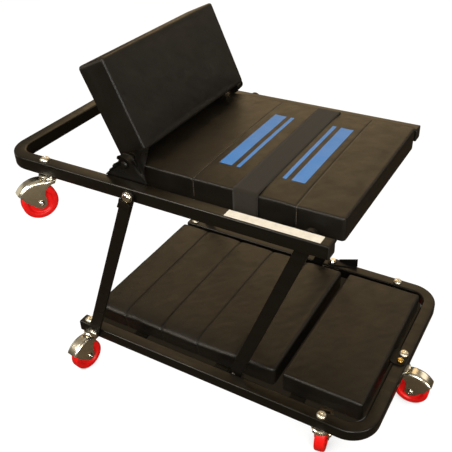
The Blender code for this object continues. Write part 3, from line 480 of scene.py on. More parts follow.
class Builder:
    """Mesh tools that the sub-assemblies share."""

    @staticmethod
    def outline_prism(shape: Shape, outline: Sequence[Point], low: float, high: float,
                      place: Callable[[float, float, float], Vector]) -> None:
        """Extrude a flat outline between two levels.

        Args:
            shape: Mesh to add to.
            outline: Corner points in order.
            low: First level.
            high: Second level.
            place: Puts two flat coordinates and a level into space.
        """
        rings = [[shape.verts.new(place(a, b, level)) for a, b in outline] for level in (low, high)]
        Builder.capped(shape, rings)

    @staticmethod
    def flat(across: float, along: float, level: float) -> Vector:
        """Place of a point on a level of the row frame."""
        return Vector((across, along, level))

    @staticmethod
    def skin(shape: Shape, rings: Sequence[Ring]) -> None:
        """Join closed rings of as many points with bands of faces.

        Args:
            shape: Mesh to add to.
            rings: Rings in order.
        """
        for low, high in zip(rings, rings[1:]):
            count = len(low)
            for index in range(count):
                after = (index + 1) % count
                shape.faces.new((low[index], low[after], high[after], high[index]))

    @staticmethod
    def capped(shape: Shape, rings: Sequence[Ring]) -> None:
        """Skin rings and close the first and the last one.

        Args:
            shape: Mesh to add to.
            rings: Rings in order.
        """
        Builder.skin(shape, rings)
        shape.faces.new(rings[0])
        shape.faces.new(rings[-1])

    @staticmethod
    def turned(shape: Shape, profile: Sequence[Point], place: Matrix, segments: int,
               bored: bool = False) -> None:
        """Turn a profile of (radius, height) points about the Z axis of a place.

        Args:
            shape: Mesh to add to.
            profile: Radius and height of each point.
            place: Matrix from the turning axis to the row frame.
            segments: Steps in a full turn.
            bored: Whether the last ring joins the first one.
        """
        rings = []
        for radius, height in profile:
            if radius <= 0:
                rings.append([shape.verts.new(place @ Vector((0, 0, height)))])
                continue
            turn = [2 * math.pi * step / segments for step in range(segments)]
            ring = [Vector((radius * math.cos(a), radius * math.sin(a), height)) for a in turn]
            rings.append([shape.verts.new(place @ point) for point in ring])
        pairs = list(zip(rings, rings[1:])) + ([(rings[-1], rings[0])] if bored else [])
        for low, high in pairs:
            if len(low) == len(high):
                Builder.skin(shape, (low, high))
                continue
            pole, ring = (low[0], high) if len(low) == 1 else (high[0], low)
            for index in range(segments):
                shape.faces.new((pole, ring[index], ring[(index + 1) % segments]))

    @staticmethod
    def turning(name: str, profile: Sequence[Point], place: Matrix, segments: int,
                bored: bool = False) -> Mesh:
        """Mesh of one turned profile.

        Args:
            name: Name of the mesh.
            profile: Radius and height of each point.
            place: Matrix from the turning axis to the row frame.
            segments: Steps in a full turn.
            bored: Whether the last ring joins the first one.

        Returns:
            The mesh.
        """
        shape = bmesh.new()
        Builder.turned(shape, profile, place, segments, bored)
        return Builder.mesh_of(shape, name)

    @staticmethod
    def both_sides(side: Sequence[Point]) -> list[Point]:
        """Profile of one side, followed by its mirror image below the middle."""
        return list(side) + [(radius, -height) for radius, height in reversed(side)]

    @staticmethod
    def arc(centre: Point, radius: float, start: float, end: float, steps: int) -> list[Point]:
        """Points on an arc.

        Args:
            centre: Middle of the arc.
            radius: Its radius.
            start: First angle in degrees.
            end: Last angle in degrees.
            steps: Number of steps.

        Returns:
            The points in order.
        """
        angles = [math.radians(start + (end - start) * step / steps) for step in range(steps + 1)]
        return [(centre[0] + radius * math.cos(a), centre[1] + radius * math.sin(a)) for a in angles]

    @staticmethod
    def rounded(points: Sequence[Point], radius: float, steps: int = 4) -> list[Point]:
        """Round the corners of a polyline, ends kept.

        Args:
            points: Corner points.
            radius: Length cut from each side of a corner.
            steps: Steps in each rounded corner.

        Returns:
            The rounded polyline.
        """
        made = [tuple(points[0])]
        for before, corner, after in zip(points, points[1:], points[2:]):
            b, c, a = Vector(before), Vector(corner), Vector(after)
            start = c + (b - c).normalized() * min(radius, (b - c).length * 0.48)
            end = c + (a - c).normalized() * min(radius, (a - c).length * 0.48)
            for step in range(steps + 1):
                t = step / steps
                point = start * (1 - t) ** 2 + c * 2 * t * (1 - t) + end * t ** 2
                made.append((point.x, point.y))
        return made + [tuple(points[-1])]

    @staticmethod
    def axis_place(origin: Vector, axis: Vector) -> Matrix:
        """Matrix whose Z runs along an axis from an origin."""
        return Matrix.Translation(origin) @ axis.to_track_quat("Z", "Y").to_matrix().to_4x4()

    @staticmethod
    def show(name: str, data: bpy.types.ID) -> bpy.types.Object:
        """Make an object of a mesh, lamp or camera and put it in the scene."""
        item = bpy.data.objects.new(name, data)
        bpy.context.scene.collection.objects.link(item)
        return item

    @staticmethod
    def baked(item: bpy.types.Object) -> Mesh:
        """Plain mesh of an object with its modifiers applied."""
        graph = bpy.context.evaluated_depsgraph_get()
        return bpy.data.meshes.new_from_object(item.evaluated_get(graph))

    @staticmethod
    def cut(body: Mesh, tool: Mesh) -> Mesh:
        """Cut one closed mesh out of another.

        Args:
            body: Mesh to change.
            tool: Mesh that cuts.

        Returns:
            The new mesh.
        """
        pair = [Builder.show("work", mesh) for mesh in (body, tool)]
        modifier = pair[0].modifiers.new("cut", "BOOLEAN")
        modifier.operation = "DIFFERENCE"
        modifier.object = pair[1]
        made = Builder.baked(pair[0])
        for item in pair:
            bpy.data.objects.remove(item)
        return made

    @staticmethod
    def mesh_of(shape: Shape, name: str) -> Mesh:
        """Turn a working shape into a mesh whose faces point outwards.

        Args:
            shape: Working shape, freed here.
            name: Name of the mesh.

        Returns:
            The mesh.
        """
        bmesh.ops.remove_doubles(shape, verts=shape.verts[:], dist=1e-6)
        bmesh.ops.recalc_face_normals(shape, faces=shape.faces[:])
        mesh = bpy.data.meshes.new(name)
        shape.to_mesh(mesh)
        shape.free()
        return mesh


@dataclass
class Piece:
    """One finished piece of the scene, ready to be hung on its body."""

    name: str
    mesh: Mesh
    finish: Finish
    body: str
    replaces: tuple[str, ...] = ()
    bevel: float = 0.0
    smooth: float = 38.0

    def hang(self) -> bpy.types.Object:
        """Make the object, finish its edges and let it ride on its body.

        Returns:
            The object.
        """
        self.mesh.materials.clear()
        self.mesh.materials.append(self.finish.material())
        self.mesh.shade_smooth()
        self.mesh.set_sharp_from_angle(angle=math.radians(self.smooth))
        item = Builder.show(self.name, self.mesh)
        if self.bevel > 0:
            modifier = item.modifiers.new("edges", "BEVEL")
            modifier.width = self.bevel
            modifier.segments = 3
            modifier.limit_method = "ANGLE"
            modifier.angle_limit = math.radians(self.smooth)
            modifier.harden_normals = True
        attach(item, self.body)
        if self.replaces:
            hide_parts(*self.replaces)
        LOG.info("%s on %s, %d faces", self.name, self.body, len(self.mesh.polygons))
        return item


class Joints:
    """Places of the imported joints."""

    places = {joint["name"]: Vector(joint.get("pos_m", (0, 0, 0))) for joint in frame["joints"]}

    @classmethod
    def place(cls, name: str) -> Vector:
        """Rest place of a joint's axis."""
        return cls.places[name].copy()


class Repeats:
    """Geometry Nodes trees for what repeats: thread along a seam, and pieces set out on points."""

    @staticmethod
    def tree(name: str, **inputs: str) -> tuple[bpy.types.NodeTree, bpy.types.Node, bpy.types.Node]:
        """Start a tree with named inputs.

        Args:
            name: Name of the tree.
            inputs: Kind of each named input after the geometry.

        Returns:
            The tree, its input node and its output node.
        """
        tree = bpy.data.node_groups.new(name, "GeometryNodeTree")
        tree.interface.new_socket("Geometry", in_out="INPUT", socket_type="NodeSocketGeometry")
        for label, kind in inputs.items():
            tree.interface.new_socket(label, in_out="INPUT", socket_type="NodeSocket" + kind)
        tree.interface.new_socket("Geometry", in_out="OUTPUT", socket_type="NodeSocketGeometry")
        return tree, tree.nodes.new("NodeGroupInput"), tree.nodes.new("NodeGroupOutput")

    @staticmethod
    def finish(tree: bpy.types.NodeTree, source: Socket, material: Socket,
               out: bpy.types.Node) -> None:
        """Realize the instances of a tree and set their material.

        Args:
            tree: The tree.
            source: Instances.
            material: Material input.
            out: Output node.
        """
        real = tree.nodes.new("GeometryNodeRealizeInstances")
        paint = tree.nodes.new("GeometryNodeSetMaterial")
        tree.links.new(source, real.inputs[0])
        tree.links.new(real.outputs[0], paint.inputs["Geometry"])
        tree.links.new(material, paint.inputs["Material"])
        tree.links.new(paint.outputs[0], out.inputs[0])

    @staticmethod
    def thread_tree() -> bpy.types.NodeTree:
        """Tree that lays short stitches along a line.

        Returns:
            The tree.
        """
        tree, into, out = Repeats.tree("thread_run", Pitch="Float", Stitch="Float", Thread="Float",
                                       Finish="Material")
        line = tree.nodes.new("GeometryNodeMeshToCurve")
        points = tree.nodes.new("GeometryNodeCurveToPoints")
        points.mode = "LENGTH"
        stitch = tree.nodes.new("GeometryNodeMeshUVSphere")
        stitch.inputs["Segments"].default_value = 6
        stitch.inputs["Rings"].default_value = 5
        stitch.inputs["Radius"].default_value = 0.5
        size = tree.nodes.new("ShaderNodeCombineXYZ")
        spread = tree.nodes.new("GeometryNodeInstanceOnPoints")
        tree.links.new(into.outputs["Geometry"], line.inputs[0])
        tree.links.new(line.outputs[0], points.inputs["Curve"])
        tree.links.new(into.outputs["Pitch"], points.inputs["Length"])
        tree.links.new(into.outputs["Thread"], size.inputs[0])
        tree.links.new(into.outputs["Thread"], size.inputs[1])
        tree.links.new(into.outputs["Stitch"], size.inputs[2])
        tree.links.new(points.outputs["Points"], spread.inputs["Points"])
        tree.links.new(points.outputs["Rotation"], spread.inputs["Rotation"])
        tree.links.new(stitch.outputs["Mesh"], spread.inputs["Instance"])
        tree.links.new(size.outputs[0], spread.inputs["Scale"])
        Repeats.finish(tree, spread.outputs[0], into.outputs["Finish"], out)
        return tree

    @staticmethod
    def points_tree() -> bpy.types.NodeTree:
        """Tree that sets a piece on every point of a mesh.

        Returns:
            The tree.
        """
        tree, into, out = Repeats.tree("set_on_points", Piece="Object", Size="Float", Finish="Material")
        piece = tree.nodes.new("GeometryNodeObjectInfo")
        spread = tree.nodes.new("GeometryNodeInstanceOnPoints")
        tree.links.new(into.outputs["Piece"], piece.inputs["Object"])
        tree.links.new(into.outputs["Geometry"], spread.inputs["Points"])
        tree.links.new(piece.outputs["Geometry"], spread.inputs["Instance"])
        tree.links.new(into.outputs["Size"], spread.inputs["Scale"])
        Repeats.finish(tree, spread.outputs[0], into.outputs["Finish"], out)
        return tree

    @staticmethod
    def run(tree: bpy.types.NodeTree, source: Mesh, values: dict[str, object],
            name: str) -> Mesh:
        """Evaluate a tree on a mesh.

        Args:
            tree: The tree.
            source: Mesh that it starts from.
            values: Value of each named input.
            name: Name of the result.

        Returns:
            A plain mesh.
        """
        item = Builder.show("repeat", source)
        modifier = item.modifiers.new("repeat", "NODES")
        modifier.node_group = tree
        for socket in tree.interface.items_tree:
            if socket.in_out == "INPUT" and socket.name in values:
                modifier[socket.identifier] = values[socket.name]
        made = Builder.baked(item)
        made.name = name
        bpy.data.objects.remove(item)
        return made

    @staticmethod
    def on_points(master: Mesh, spots: Sequence[Vector], finish: Finish,
                  name: str) -> Mesh:
        """Set a copy of a small mesh on each of some points.

        Args:
            master: Mesh to repeat.
            spots: Where the copies go.
            finish: Their finish.
            name: Name of the result.

        Returns:
            A plain mesh of all the copies.
        """
        points = bpy.data.meshes.new("spots")
        points.from_pydata(spots, [], [])
        item = Builder.show("master", master)
        values = {"Piece": item, "Size": 1.0, "Finish": finish.material()}
        made = Repeats.run(Repeats.points_tree(), points, values, name)
        bpy.data.objects.remove(item)
        return made


@dataclass
class TubeFrame:
    """One U-bent square-tube frame with its cross straps, dressed with smooth bends."""

    name: str
    body: str
    node: str
    way: int
    straps: tuple[float, ...]
    tube: float = 0.025
    corner: float = 0.0034
    bend: float = 0.055
    width: float = 0.440
    strap_width: float = 0.030
    strap_thick: float = 0.003
    strap_margin: float = 0.006
    strap_sunk: float = 0.0002
    pinch: float = 0.05
    flattened: float = 0.0008
    stretched: float = 0.0006
    screw_aside: float = 0.11

    @property
    def mid(self) -> float:
        """Height of the middle of the tube."""
        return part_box(self.node)[1].z - self.tube / 2

    @property
    def ends(self) -> tuple[float, float]:
        """X of the open end and of the closed end."""
        low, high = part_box(self.node)
        return (low.x, high.x) if self.way > 0 else (high.x, low.x)

    def section(self) -> list[Point]:
        """Rounded square section of the tube, as points across and up."""
        half = self.tube / 2 - self.corner
        points: list[Point] = []
        for quarter, (cx, cy) in enumerate(((half, half), (-half, half), (-half, -half), (half, -half))):
            points += Builder.arc((cx, cy), self.corner, 90 * quarter, 90 * quarter + 90, 5)
        return points

    def path(self) -> list[tuple[Vector, Vector, float]]:
        """Middle line of the U.

        Returns:
            Points with the direction that faces out and how far into a bend each one is, from 0 to 1.
        """
        open_x, closed_x = self.ends
        radius = self.bend - self.tube / 2
        bend_x = closed_x - self.way * self.bend
        bend_y = self.width / 2 - self.bend
        rail_y = (self.width - self.tube) / 2
        steps = 22
        line = [(Vector((open_x, -rail_y, 0)), Vector((0, -1, 0)), 0.0)]
        for side in (-1, 1):
            for step in range(steps + 1):
                turn = math.pi / 2 * step / steps
                out = (Vector((self.way * math.sin(turn), -math.cos(turn), 0)) if side < 0
                       else Vector((self.way * math.cos(turn), math.sin(turn), 0)))
                middle = Vector((bend_x, side * bend_y, 0))
                line.append((middle + radius * out, out, math.sin(math.pi * step / steps)))
        line.append((Vector((open_x, rail_y, 0)), Vector((0, 1, 0)), 0.0))
        return line

    def tube_mesh(self) -> Mesh:
        """Sweep the tube, a little flattened and pinched where it is bent.

        Returns:
            The tube's mesh.
        """
        shape = bmesh.new()
        rings = []
        for point, out, bent in self.path():
            ring = []
            for across, up in self.section():
                pinch = 1.0 - self.pinch * bent * (0.5 - across / self.tube)
                crush = self.flattened * bent if across < 0 else -self.stretched * bent
                lift = Vector((0, 0, self.mid + up * pinch))
                ring.append(shape.verts.new(point + out * (across + crush) + lift))
            rings.append(ring)
        Builder.capped(shape, rings)
        return Builder.mesh_of(shape, self.name + "_tube")

    def strap_mesh(self) -> Mesh:
        """Cross straps under the rails.

        Returns:
            The straps' mesh.
        """
        shape = bmesh.new()
        half = self.width / 2 - self.strap_margin
        top = self.mid - self.tube / 2
        for x in self.straps:
            outline = [(x - self.strap_width / 2, -half), (x + self.strap_width / 2, -half),
                       (x + self.strap_width / 2, half), (x - self.strap_width / 2, half)]
            Builder.outline_prism(shape, outline, top - self.strap_thick, top + self.strap_sunk, Builder.flat)
        return Builder.mesh_of(shape, self.name + "_straps")

    def screws(self) -> Mesh:
        """Pan-head screws under the straps.

        Returns:
            The screws' mesh.
        """
        profile = [(0.0, -0.0032), (0.0012, -0.0032), (0.0014, -0.0018), (0.0018, -0.0032), (0.0034, -0.0029),
                   (0.0046, -0.0018), (0.005, 0.0), (0.0, 0.0)]
        screw = Builder.turning("screw", profile, Matrix.Identity(4), 20)
        level = self.mid - self.tube / 2 - self.strap_thick
        spots = [Vector((x, y, level)) for x in self.straps for y in (-self.screw_aside, self.screw_aside)]
        return Repeats.on_points(screw, spots, PLAIN_STEEL, self.name + "_screws")

    def build(self) -> None:
        """Build the tube, straps and screws."""
        Piece(self.name + "_tube", self.tube_mesh(), BLACK_PAINT, self.body, (self.node,), smooth=30).hang()
        Piece(self.name + "_straps", self.strap_mesh(), BLACK_PAINT, self.body, bevel=0.0005).hang()
        Piece(self.name + "_screws", self.screws(), PLAIN_STEEL, self.body).hang()


@dataclass
class Linkage:
    """The four links, their bolts and the stops that the inner links lean on."""

    width: float = 0.024
    outer_in: float = 0.2205
    outer_thick: float = 0.005
    inner_out: float = 0.1928
    inner_thick: float = 0.008
    rail_in: float = 0.195
    collar_from: float = 0.012
    collar_long: float = 0.020
    collar_proud: float = 0.003
    collar_dip: float = 0.0010
    stop_long: float = 0.040
    stop_plate: float = 0.003
    stop_face: float = 0.004
    flange: float = 0.0102
    flange_high: float = 0.0018
    dome: float = 0.0092
    dome_high: float = 0.0062
    shank: float = 0.005
    shank_long: float = 0.012
    shoulder: float = 0.009
    stop_below: tuple[float, float] = (0.022, 0.003)
    stop_gap: float = 0.0005

    @property
    def outer(self) -> tuple[Vector, Vector]:
        """Lower and upper pivots of the outer links."""
        return Joints.place("fold"), Joints.place("upper_frame_level")

    @property
    def inner(self) -> tuple[Vector, Vector]:
        """Lower and upper pivots of the inner links."""
        low, top = self.outer
        foot = Joints.place("inner_link_swing")
        return foot, foot + top - low

    def bar(self, pivots: tuple[Vector, Vector], low: float, high: float, name: str) -> Mesh:
        """Flat bar with round ends.

        Args:
            pivots: Lower and upper pivots.
            low: One face, as a distance along Y.
            high: The other face.
            name: Name of the mesh.

        Returns:
            The bar's mesh.
        """
        foot, top = pivots
        way = math.degrees(math.atan2((top - foot).z, (top - foot).x))
        outline = Builder.arc((top.x, top.z), self.width / 2, way + 90, way - 90, 20)
        outline += Builder.arc((foot.x, foot.z), self.width / 2, way - 90, way - 270, 20)
        shape = bmesh.new()
        Builder.outline_prism(shape, outline, low, high, lambda a, b, level: Vector((a, level, b)))
        return Builder.mesh_of(shape, name)

    def collar(self, side: Side) -> Mesh:
        """Collar folded round an outer link below its upper bolt, with a lip on each edge.

        Args:
            side: Side of the creeper.

        Returns:
            The collar's mesh.
        """
        foot, top = self.outer
        along = (top - foot).normalized()
        across = Vector((along.z, 0, -along.x))
        half = self.width / 2
        shape = bmesh.new()
        profile = [(-half - 0.002, -0.0002), (-half - 0.002, self.collar_proud - 0.0006),
                   (-half - 0.0008, self.collar_proud), (half - 0.0022, self.collar_proud),
                   (half - 0.001, self.collar_proud - 0.001), (half - 0.001, -0.0002)]
        rings = []
        for share in (0.0, 0.2, 0.42, 0.6, 0.82, 1.0):
            dip = self.collar_dip if 0.4 < share < 0.7 else 0.0
            base = top - along * (self.collar_from + share * self.collar_long)
            ring = []
            for a, b in profile:
                level = self.outer_in + self.outer_thick + b - (dip if b > 0.001 else 0.0)
                point = base + across * a
                ring.append(shape.verts.new((point.x, side.value * level, point.z)))
            rings.append(ring)
        Builder.capped(shape, rings)
        return Builder.mesh_of(shape, "link_collar_" + side.tag)

    def dome_profile(self, seat: float) -> list[Point]:
        """Flanged dome head above a seat, as radius and height points."""
        rise = [(self.flange - 0.0004, seat), (self.flange, seat + 0.0004),
                (self.flange - 0.0003, seat + 0.0014), (self.dome + 0.0002, seat + 0.0016)]
        steps = 8
        for step in range(steps + 1):
            angle = math.radians(90 * step / steps)
            radius = self.dome * math.cos(angle) if step < steps else 0.0
            rise.append((radius, seat + self.flange_high + self.dome_high * math.sin(angle)))
        return rise

    @staticmethod
    def axis(pivot: Vector, way: int) -> Matrix:
        """Place of a turned piece on a pivot, with its height along Y one way or the other."""
        return Builder.axis_place(Vector((pivot.x, 0, pivot.z)), Vector((0, way, 0)))

    def bolt(self, pivot: Vector, side: Side, name: str) -> Mesh:
        """Fold bolt of an outer link.

        Args:
            pivot: Axis of the bolt.
            side: Side of the creeper.
            name: Name of the mesh.

        Returns:
            The bolt's mesh.
        """
        seat = self.outer_in + self.outer_thick + CLEAR
        end = seat - self.shank_long
        profile = [(0.0, end), (self.shank, end), (self.shank, seat)] + self.dome_profile(seat)
        return Builder.turning(name, profile, self.axis(pivot, side.value), 40)

    def studs(self, side: Side) -> Mesh:
        """Shouldered studs of one inner link.

        Args:
            side: Side of the creeper.

        Returns:
            The studs' mesh.
        """
        shape = bmesh.new()
        face, rail, bar = self.inner_thick - self.inner_out, -self.rail_in, -self.inner_out
        shank = [(0.0, rail - 0.008), (0.0085, rail - 0.008), (0.0085, rail - 0.0023),
                 (self.shank, rail - 0.0023), (self.shank, rail + CLEAR), (self.shoulder, rail + CLEAR),
                 (self.shoulder, bar + 0.0008), (0.004, bar + 0.0008), (0.004, face)]
        for pivot in self.inner:
            Builder.turned(shape, shank + self.dome_profile(face), self.axis(pivot, -side.value), 40)
        return Builder.mesh_of(shape, "inner_studs_" + side.tag)

    def stops(self) -> Mesh:
        """Stop angles on the lower rails.

        Returns:
            The stops' mesh.
        """
        foot, top = self.inner
        rail_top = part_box("lower_frame_weldment")[1].z
        lean = (top.x - foot.x) / (top.z - foot.z)
        stand = (self.width / 2 + self.stop_gap) / math.cos(math.atan(lean))
        outer, inner = self.rail_in - self.stop_plate, self.inner_out - self.inner_thick
        plan = ((0, self.rail_in), (self.stop_long, self.rail_in), (self.stop_long, outer),
                (self.stop_face, outer), (self.stop_face, inner), (0, inner))
        shape = bmesh.new()
        for side in Side:
            rings = []
            for below in self.stop_below:
                level = rail_top - below
                face = foot.x + (level - foot.z) * lean + stand
                rings.append([shape.verts.new((face + x, side.value * y, level)) for x, y in plan])
            Builder.capped(shape, rings)
        return Builder.mesh_of(shape, "link_stops")

    def build(self) -> None:
        """Build the links, collars, bolts, studs and stops."""
        for side in Side:
            y, tag = side.value, side.tag
            outside, inside = self.outer_in + self.outer_thick, self.inner_out - self.inner_thick
            bar = self.bar(self.outer, y * self.outer_in, y * outside, "outer_bar")
            Piece("outer_bar_" + tag, bar, BLACK_PAINT, "outer_links", ("outer_link_" + tag,), 0.0007).hang()
            Piece("link_collar_" + tag, self.collar(side), BLACK_PAINT, "outer_links", bevel=0.0004).hang()
            bar = self.bar(self.inner, y * inside, y * self.inner_out, "inner_bar")
            Piece("inner_bar_" + tag, bar, BLACK_PAINT, "inner_links", ("inner_link_" + tag,), 0.0008).hang()
            Piece("inner_studs_" + tag, self.studs(side), CHROME_PLATE, "inner_links").hang()
            for level, pivot in zip(("lower", "upper"), self.outer):
                name, node = level + "_dome_bolt_" + tag, level + "_fold_bolt_" + tag
                Piece(name, self.bolt(pivot, side, name), CHROME_PLATE, level + "_frame", (node,)).hang()
        Piece("link_stops", self.stops(), BLACK_PAINT, "lower_frame", bevel=0.0005).hang()


@dataclass
class Caster:
    """One swivel caster: stem with its head and race, stamped fork, axle and wheel."""

    name: str
    frame_body: str
    rail_top: float
    head_lift: float = 0.0
    radius: float = 0.0335
    width: float = 0.020
    drop: float = 0.051
    trail: float = 0.025
    fork_width: float = 0.027
    plate: float = 0.002
    fillet: float = 0.0064
    hood_gap: float = 0.009
    hood_plate: float = 0.0025
    eye: float = 0.011
    crown: float = 0.015
    race: float = 0.017
    race_high: float = 0.004
    stem: float = 0.005
    head: float = 0.0092
    head_high: float = 0.006
    bore: float = 0.0055
    cup_bore: float = 0.0052
    ball: float = 0.0011
    ball_count: int = 16
    tread_round: float = 0.0042

    @property
    def swivel(self) -> Vector:
        """Point of the swivel axis under the rail."""
        return Joints.place(self.name + "_turn")

    def place(self) -> Matrix:
        """Matrix from the axle, with X trailing, to the row frame."""
        axle = Joints.place(self.name + "_roll")
        trail = axle - self.swivel
        heading = math.atan2(trail.y, trail.x)
        return Matrix.Translation(axle) @ Matrix.Rotation(heading, 4, "Z")

    def axle_place(self) -> Matrix:
        """Matrix from a turning axis along the axle to the row frame."""
        return self.place() @ Matrix.Rotation(math.radians(90), 4, "X")

    @property
    def hood(self) -> float:
        """Outer radius of the hood about the axle."""
        return self.radius + self.hood_gap + self.hood_plate

    @property
    def crown_top(self) -> float:
        """Top of the crown above the axle."""
        return self.hood - 1.2 * self.hood_plate

    def shell(self, shrink: float, half: float, fillet: float, inner: bool) -> Mesh:
        """Block in the outline of the fork, or of its hollow, with its upper edges rounded.

        Args:
            shrink: How far inside the outer skin it lies.
            half: Half its width.
            fillet: Radius of the rounded edges.
            inner: Whether it is the hollow, which is open below.

        Returns:
            The block's mesh, about the axle.
        """
        hood, crown = self.hood - shrink, self.crown_top - shrink
        nose = self.crown + (0.004 if inner else 0.0)
        last = math.radians(20 if inner else 33)
        tip = (hood * math.cos(last), hood * math.sin(last))
        eye = self.eye
        foot = [(0.72 * tip[0], 0.42 * tip[1])] + Builder.arc((0, 0), eye, -42, -176, 14)
        foot += [(-0.9 * eye, 0.35 * crown), (-1.0 * eye, 0.5 * crown), (-1.35 * eye, 0.64 * crown),
                 (-0.8 * self.trail, 0.73 * crown), (-self.trail, 0.765 * crown)]
        turns = [math.radians(15 * step) for step in range(7)]
        layers = [(half - fillet * (1 - math.cos(turn)), fillet * (1 - math.sin(turn))) for turn in turns]
        layers += [((half - fillet) * share, 0.0) for share in (0.6, 0.2)]
        shape = bmesh.new()
        rings = []
        for y, drop in layers + [(-y, drop) for y, drop in reversed(layers)]:
            lead = -self.trail - math.sqrt(nose ** 2 - y ** 2)
            level = crown - drop
            start = 180 - math.degrees(math.asin(level / (hood - drop)))
            outline = [(lead, level)] + Builder.arc((0, 0), hood - drop, start, math.degrees(last), 22)
            if inner:
                outline += [(1.1 * hood, -self.hood), (lead, -self.hood)]
            else:
                outline += foot + [(lead, level - 1.1 * self.hood_plate)]
            rings.append([shape.verts.new((a, y, b)) for a, b in outline])
        Builder.capped(shape, rings)
        return Builder.mesh_of(shape, "fork_block")

    def fork(self) -> Mesh:
        """Stamped fork: two cheeks under a rounded hood.

        Returns:
            The fork's mesh, in the row frame.
        """
        outer = self.shell(0.0, self.fork_width / 2, self.fillet, False)
        hollow = self.shell(self.hood_plate, self.fork_width / 2 - self.plate, self.fillet - self.plate, True)
        made = Builder.cut(outer, hollow)
        made.transform(self.place())
        return made

    def crown_race(self) -> Mesh:
        """Swivel race pressed on the fork's crown.

        Returns:
            The race's mesh.
        """
        base = self.crown_top - 0.001
        top = self.drop - self.race_high - 0.0006
        profile = [(self.bore, base), (self.crown, base), (self.crown - 0.0002, base + 0.3 * (top - base)),
                   (self.crown - 0.0012, top - 0.0010), (self.crown - 0.0026, top), (self.bore, top)]
        place = self.place() @ Matrix.Translation((-self.trail, 0, 0))
        return Builder.turning("crown_race", profile, place, 40, bored=True)

    def fixed_race(self) -> Mesh:
        """Fixed race cup under the rail, with a rolled lip.

        Returns:
            The race's mesh.
        """
        high = -CLEAR
        low = high - self.race_high
        r = self.race
        profile = [(self.cup_bore, low + 0.0012), (r - 0.004, low + 0.0012), (r - 0.0022, low + 0.0002),
                   (r - 0.0008, low), (r, low + 0.0010), (r - 0.0003, low + 0.0022),
                   (r - 0.0022, high - 0.0004), (r - 0.004, high), (self.cup_bore, high)]
        return Builder.turning("fixed_race", profile, Matrix.Translation(self.swivel), 40, bored=True)

    def balls(self) -> Mesh:
        """Bearing balls in the gap between the two races.

        Returns:
            The balls' mesh.
        """
        ring = self.crown - 0.0030
        level = -self.race_high - 0.0001
        spots = []
        for index in range(self.ball_count):
            angle = 2 * math.pi * index / self.ball_count
            spots.append(self.swivel + Vector((ring * math.cos(angle), ring * math.sin(angle), level)))
        ball = bmesh.new()
        bmesh.ops.create_icosphere(ball, subdivisions=2, radius=self.ball)
        return Repeats.on_points(Builder.mesh_of(ball, "ball"), spots, PLAIN_STEEL, "bearing_balls")

    def stem_mesh(self) -> Mesh:
        """Stem bolt with a button head and a drive socket.

        Returns:
            The stem's mesh.
        """
        seat = self.rail_top + CLEAR + self.head_lift
        foot = self.swivel.z - self.drop + self.crown_top - self.hood_plate - CLEAR
        top = seat + self.head_high
        h = self.head
        shank = [(0.0, foot - 0.0035), (0.006, foot - 0.0035), (0.008, foot - 0.0022), (0.008, foot),
                 (self.stem, foot), (self.stem, seat)]
        button = [(h - 0.0004, seat), (h, seat + 0.0005), (h, seat + 0.0016), (0.95 * h, seat + 0.0030),
                  (0.82 * h, seat + 0.0045), (0.62 * h, top - 0.0004), (0.40 * h, top)]
        socket = [(0.32 * h, top - 0.0002), (0.28 * h, top - 0.0009), (0.26 * h, top - 0.0036),
                  (0.0, top - 0.0040)]
        place = Matrix.Translation((self.swivel.x, self.swivel.y, 0))
        return Builder.turning("stem", shank + button + socket, place, 36)

    def axle(self) -> Mesh:
        """Axle with a rivet head and a peened end.

        Returns:
            The axle's mesh.
        """
        seat = self.fork_width / 2 + CLEAR
        side = [(0.0, seat + 0.0026), (0.0016, seat + 0.0026), (0.0020, seat + 0.0032),
                (0.0036, seat + 0.0030), (0.0050, seat + 0.0020), (0.0058, seat + 0.0006), (0.0058, seat),
                (0.004, seat)]
        return Builder.turning("axle", Builder.both_sides(side), self.axle_place(), 28)

    def wheel(self) -> Mesh:
        """Wheel with round shoulders, a sunk ring and a raised hub on each side.

        Returns:
            The wheel's mesh.
        """
        half = self.width / 2
        r, tread = self.radius, self.tread_round
        hub = (self.fork_width / 2 - self.plate + half) / 2
        side = [(0.0045, hub), (0.0085, hub), (0.0092, hub - 0.0005), (0.0096, half - 0.0022),
                (0.0104, half - 0.0030), (0.0130, half - 0.0033), (0.0196, half - 0.0033),
                (0.0214, half - 0.0028), (0.0226, half - 0.0014), (0.0236, half - 0.0003), (0.0250, half),
                (0.90 * r, half)]
        side += [(0.90 * r + 0.10 * r * math.sin(a), half - tread + tread * math.cos(a))
                 for a in map(math.radians, (18, 36, 54, 72, 90))]
        return Builder.turning("wheel", Builder.both_sides(side), self.axle_place(), 72, bored=True)

    def build(self) -> None:
        """Build the caster on its three bodies."""
        swivel, spin = self.name + "_swivel", self.name + "_spin"
        n = self.name
        Piece(n + "_stamped_fork", self.fork(), ZINC_PLATE, swivel, (n + "_fork",), smooth=32).hang()
        Piece(n + "_crown_race", self.crown_race(), ZINC_PLATE, swivel).hang()
        Piece(n + "_rivet_axle", self.axle(), CHROME_PLATE, swivel, (n + "_axle",)).hang()
        Piece(n + "_red_wheel", self.wheel(), RED_URETHANE, spin, (n + "_wheel",), smooth=50).hang()
        Piece(n + "_stem_bolt", self.stem_mesh(), BRIGHT_ZINC, self.frame_body, (n + "_stem",)).hang()
        Piece(n + "_fixed_race", self.fixed_race(), ZINC_PLATE, self.frame_body).hang()
        Piece(n + "_bearing_balls", self.balls(), PLAIN_STEEL, self.frame_body, smooth=60).hang()


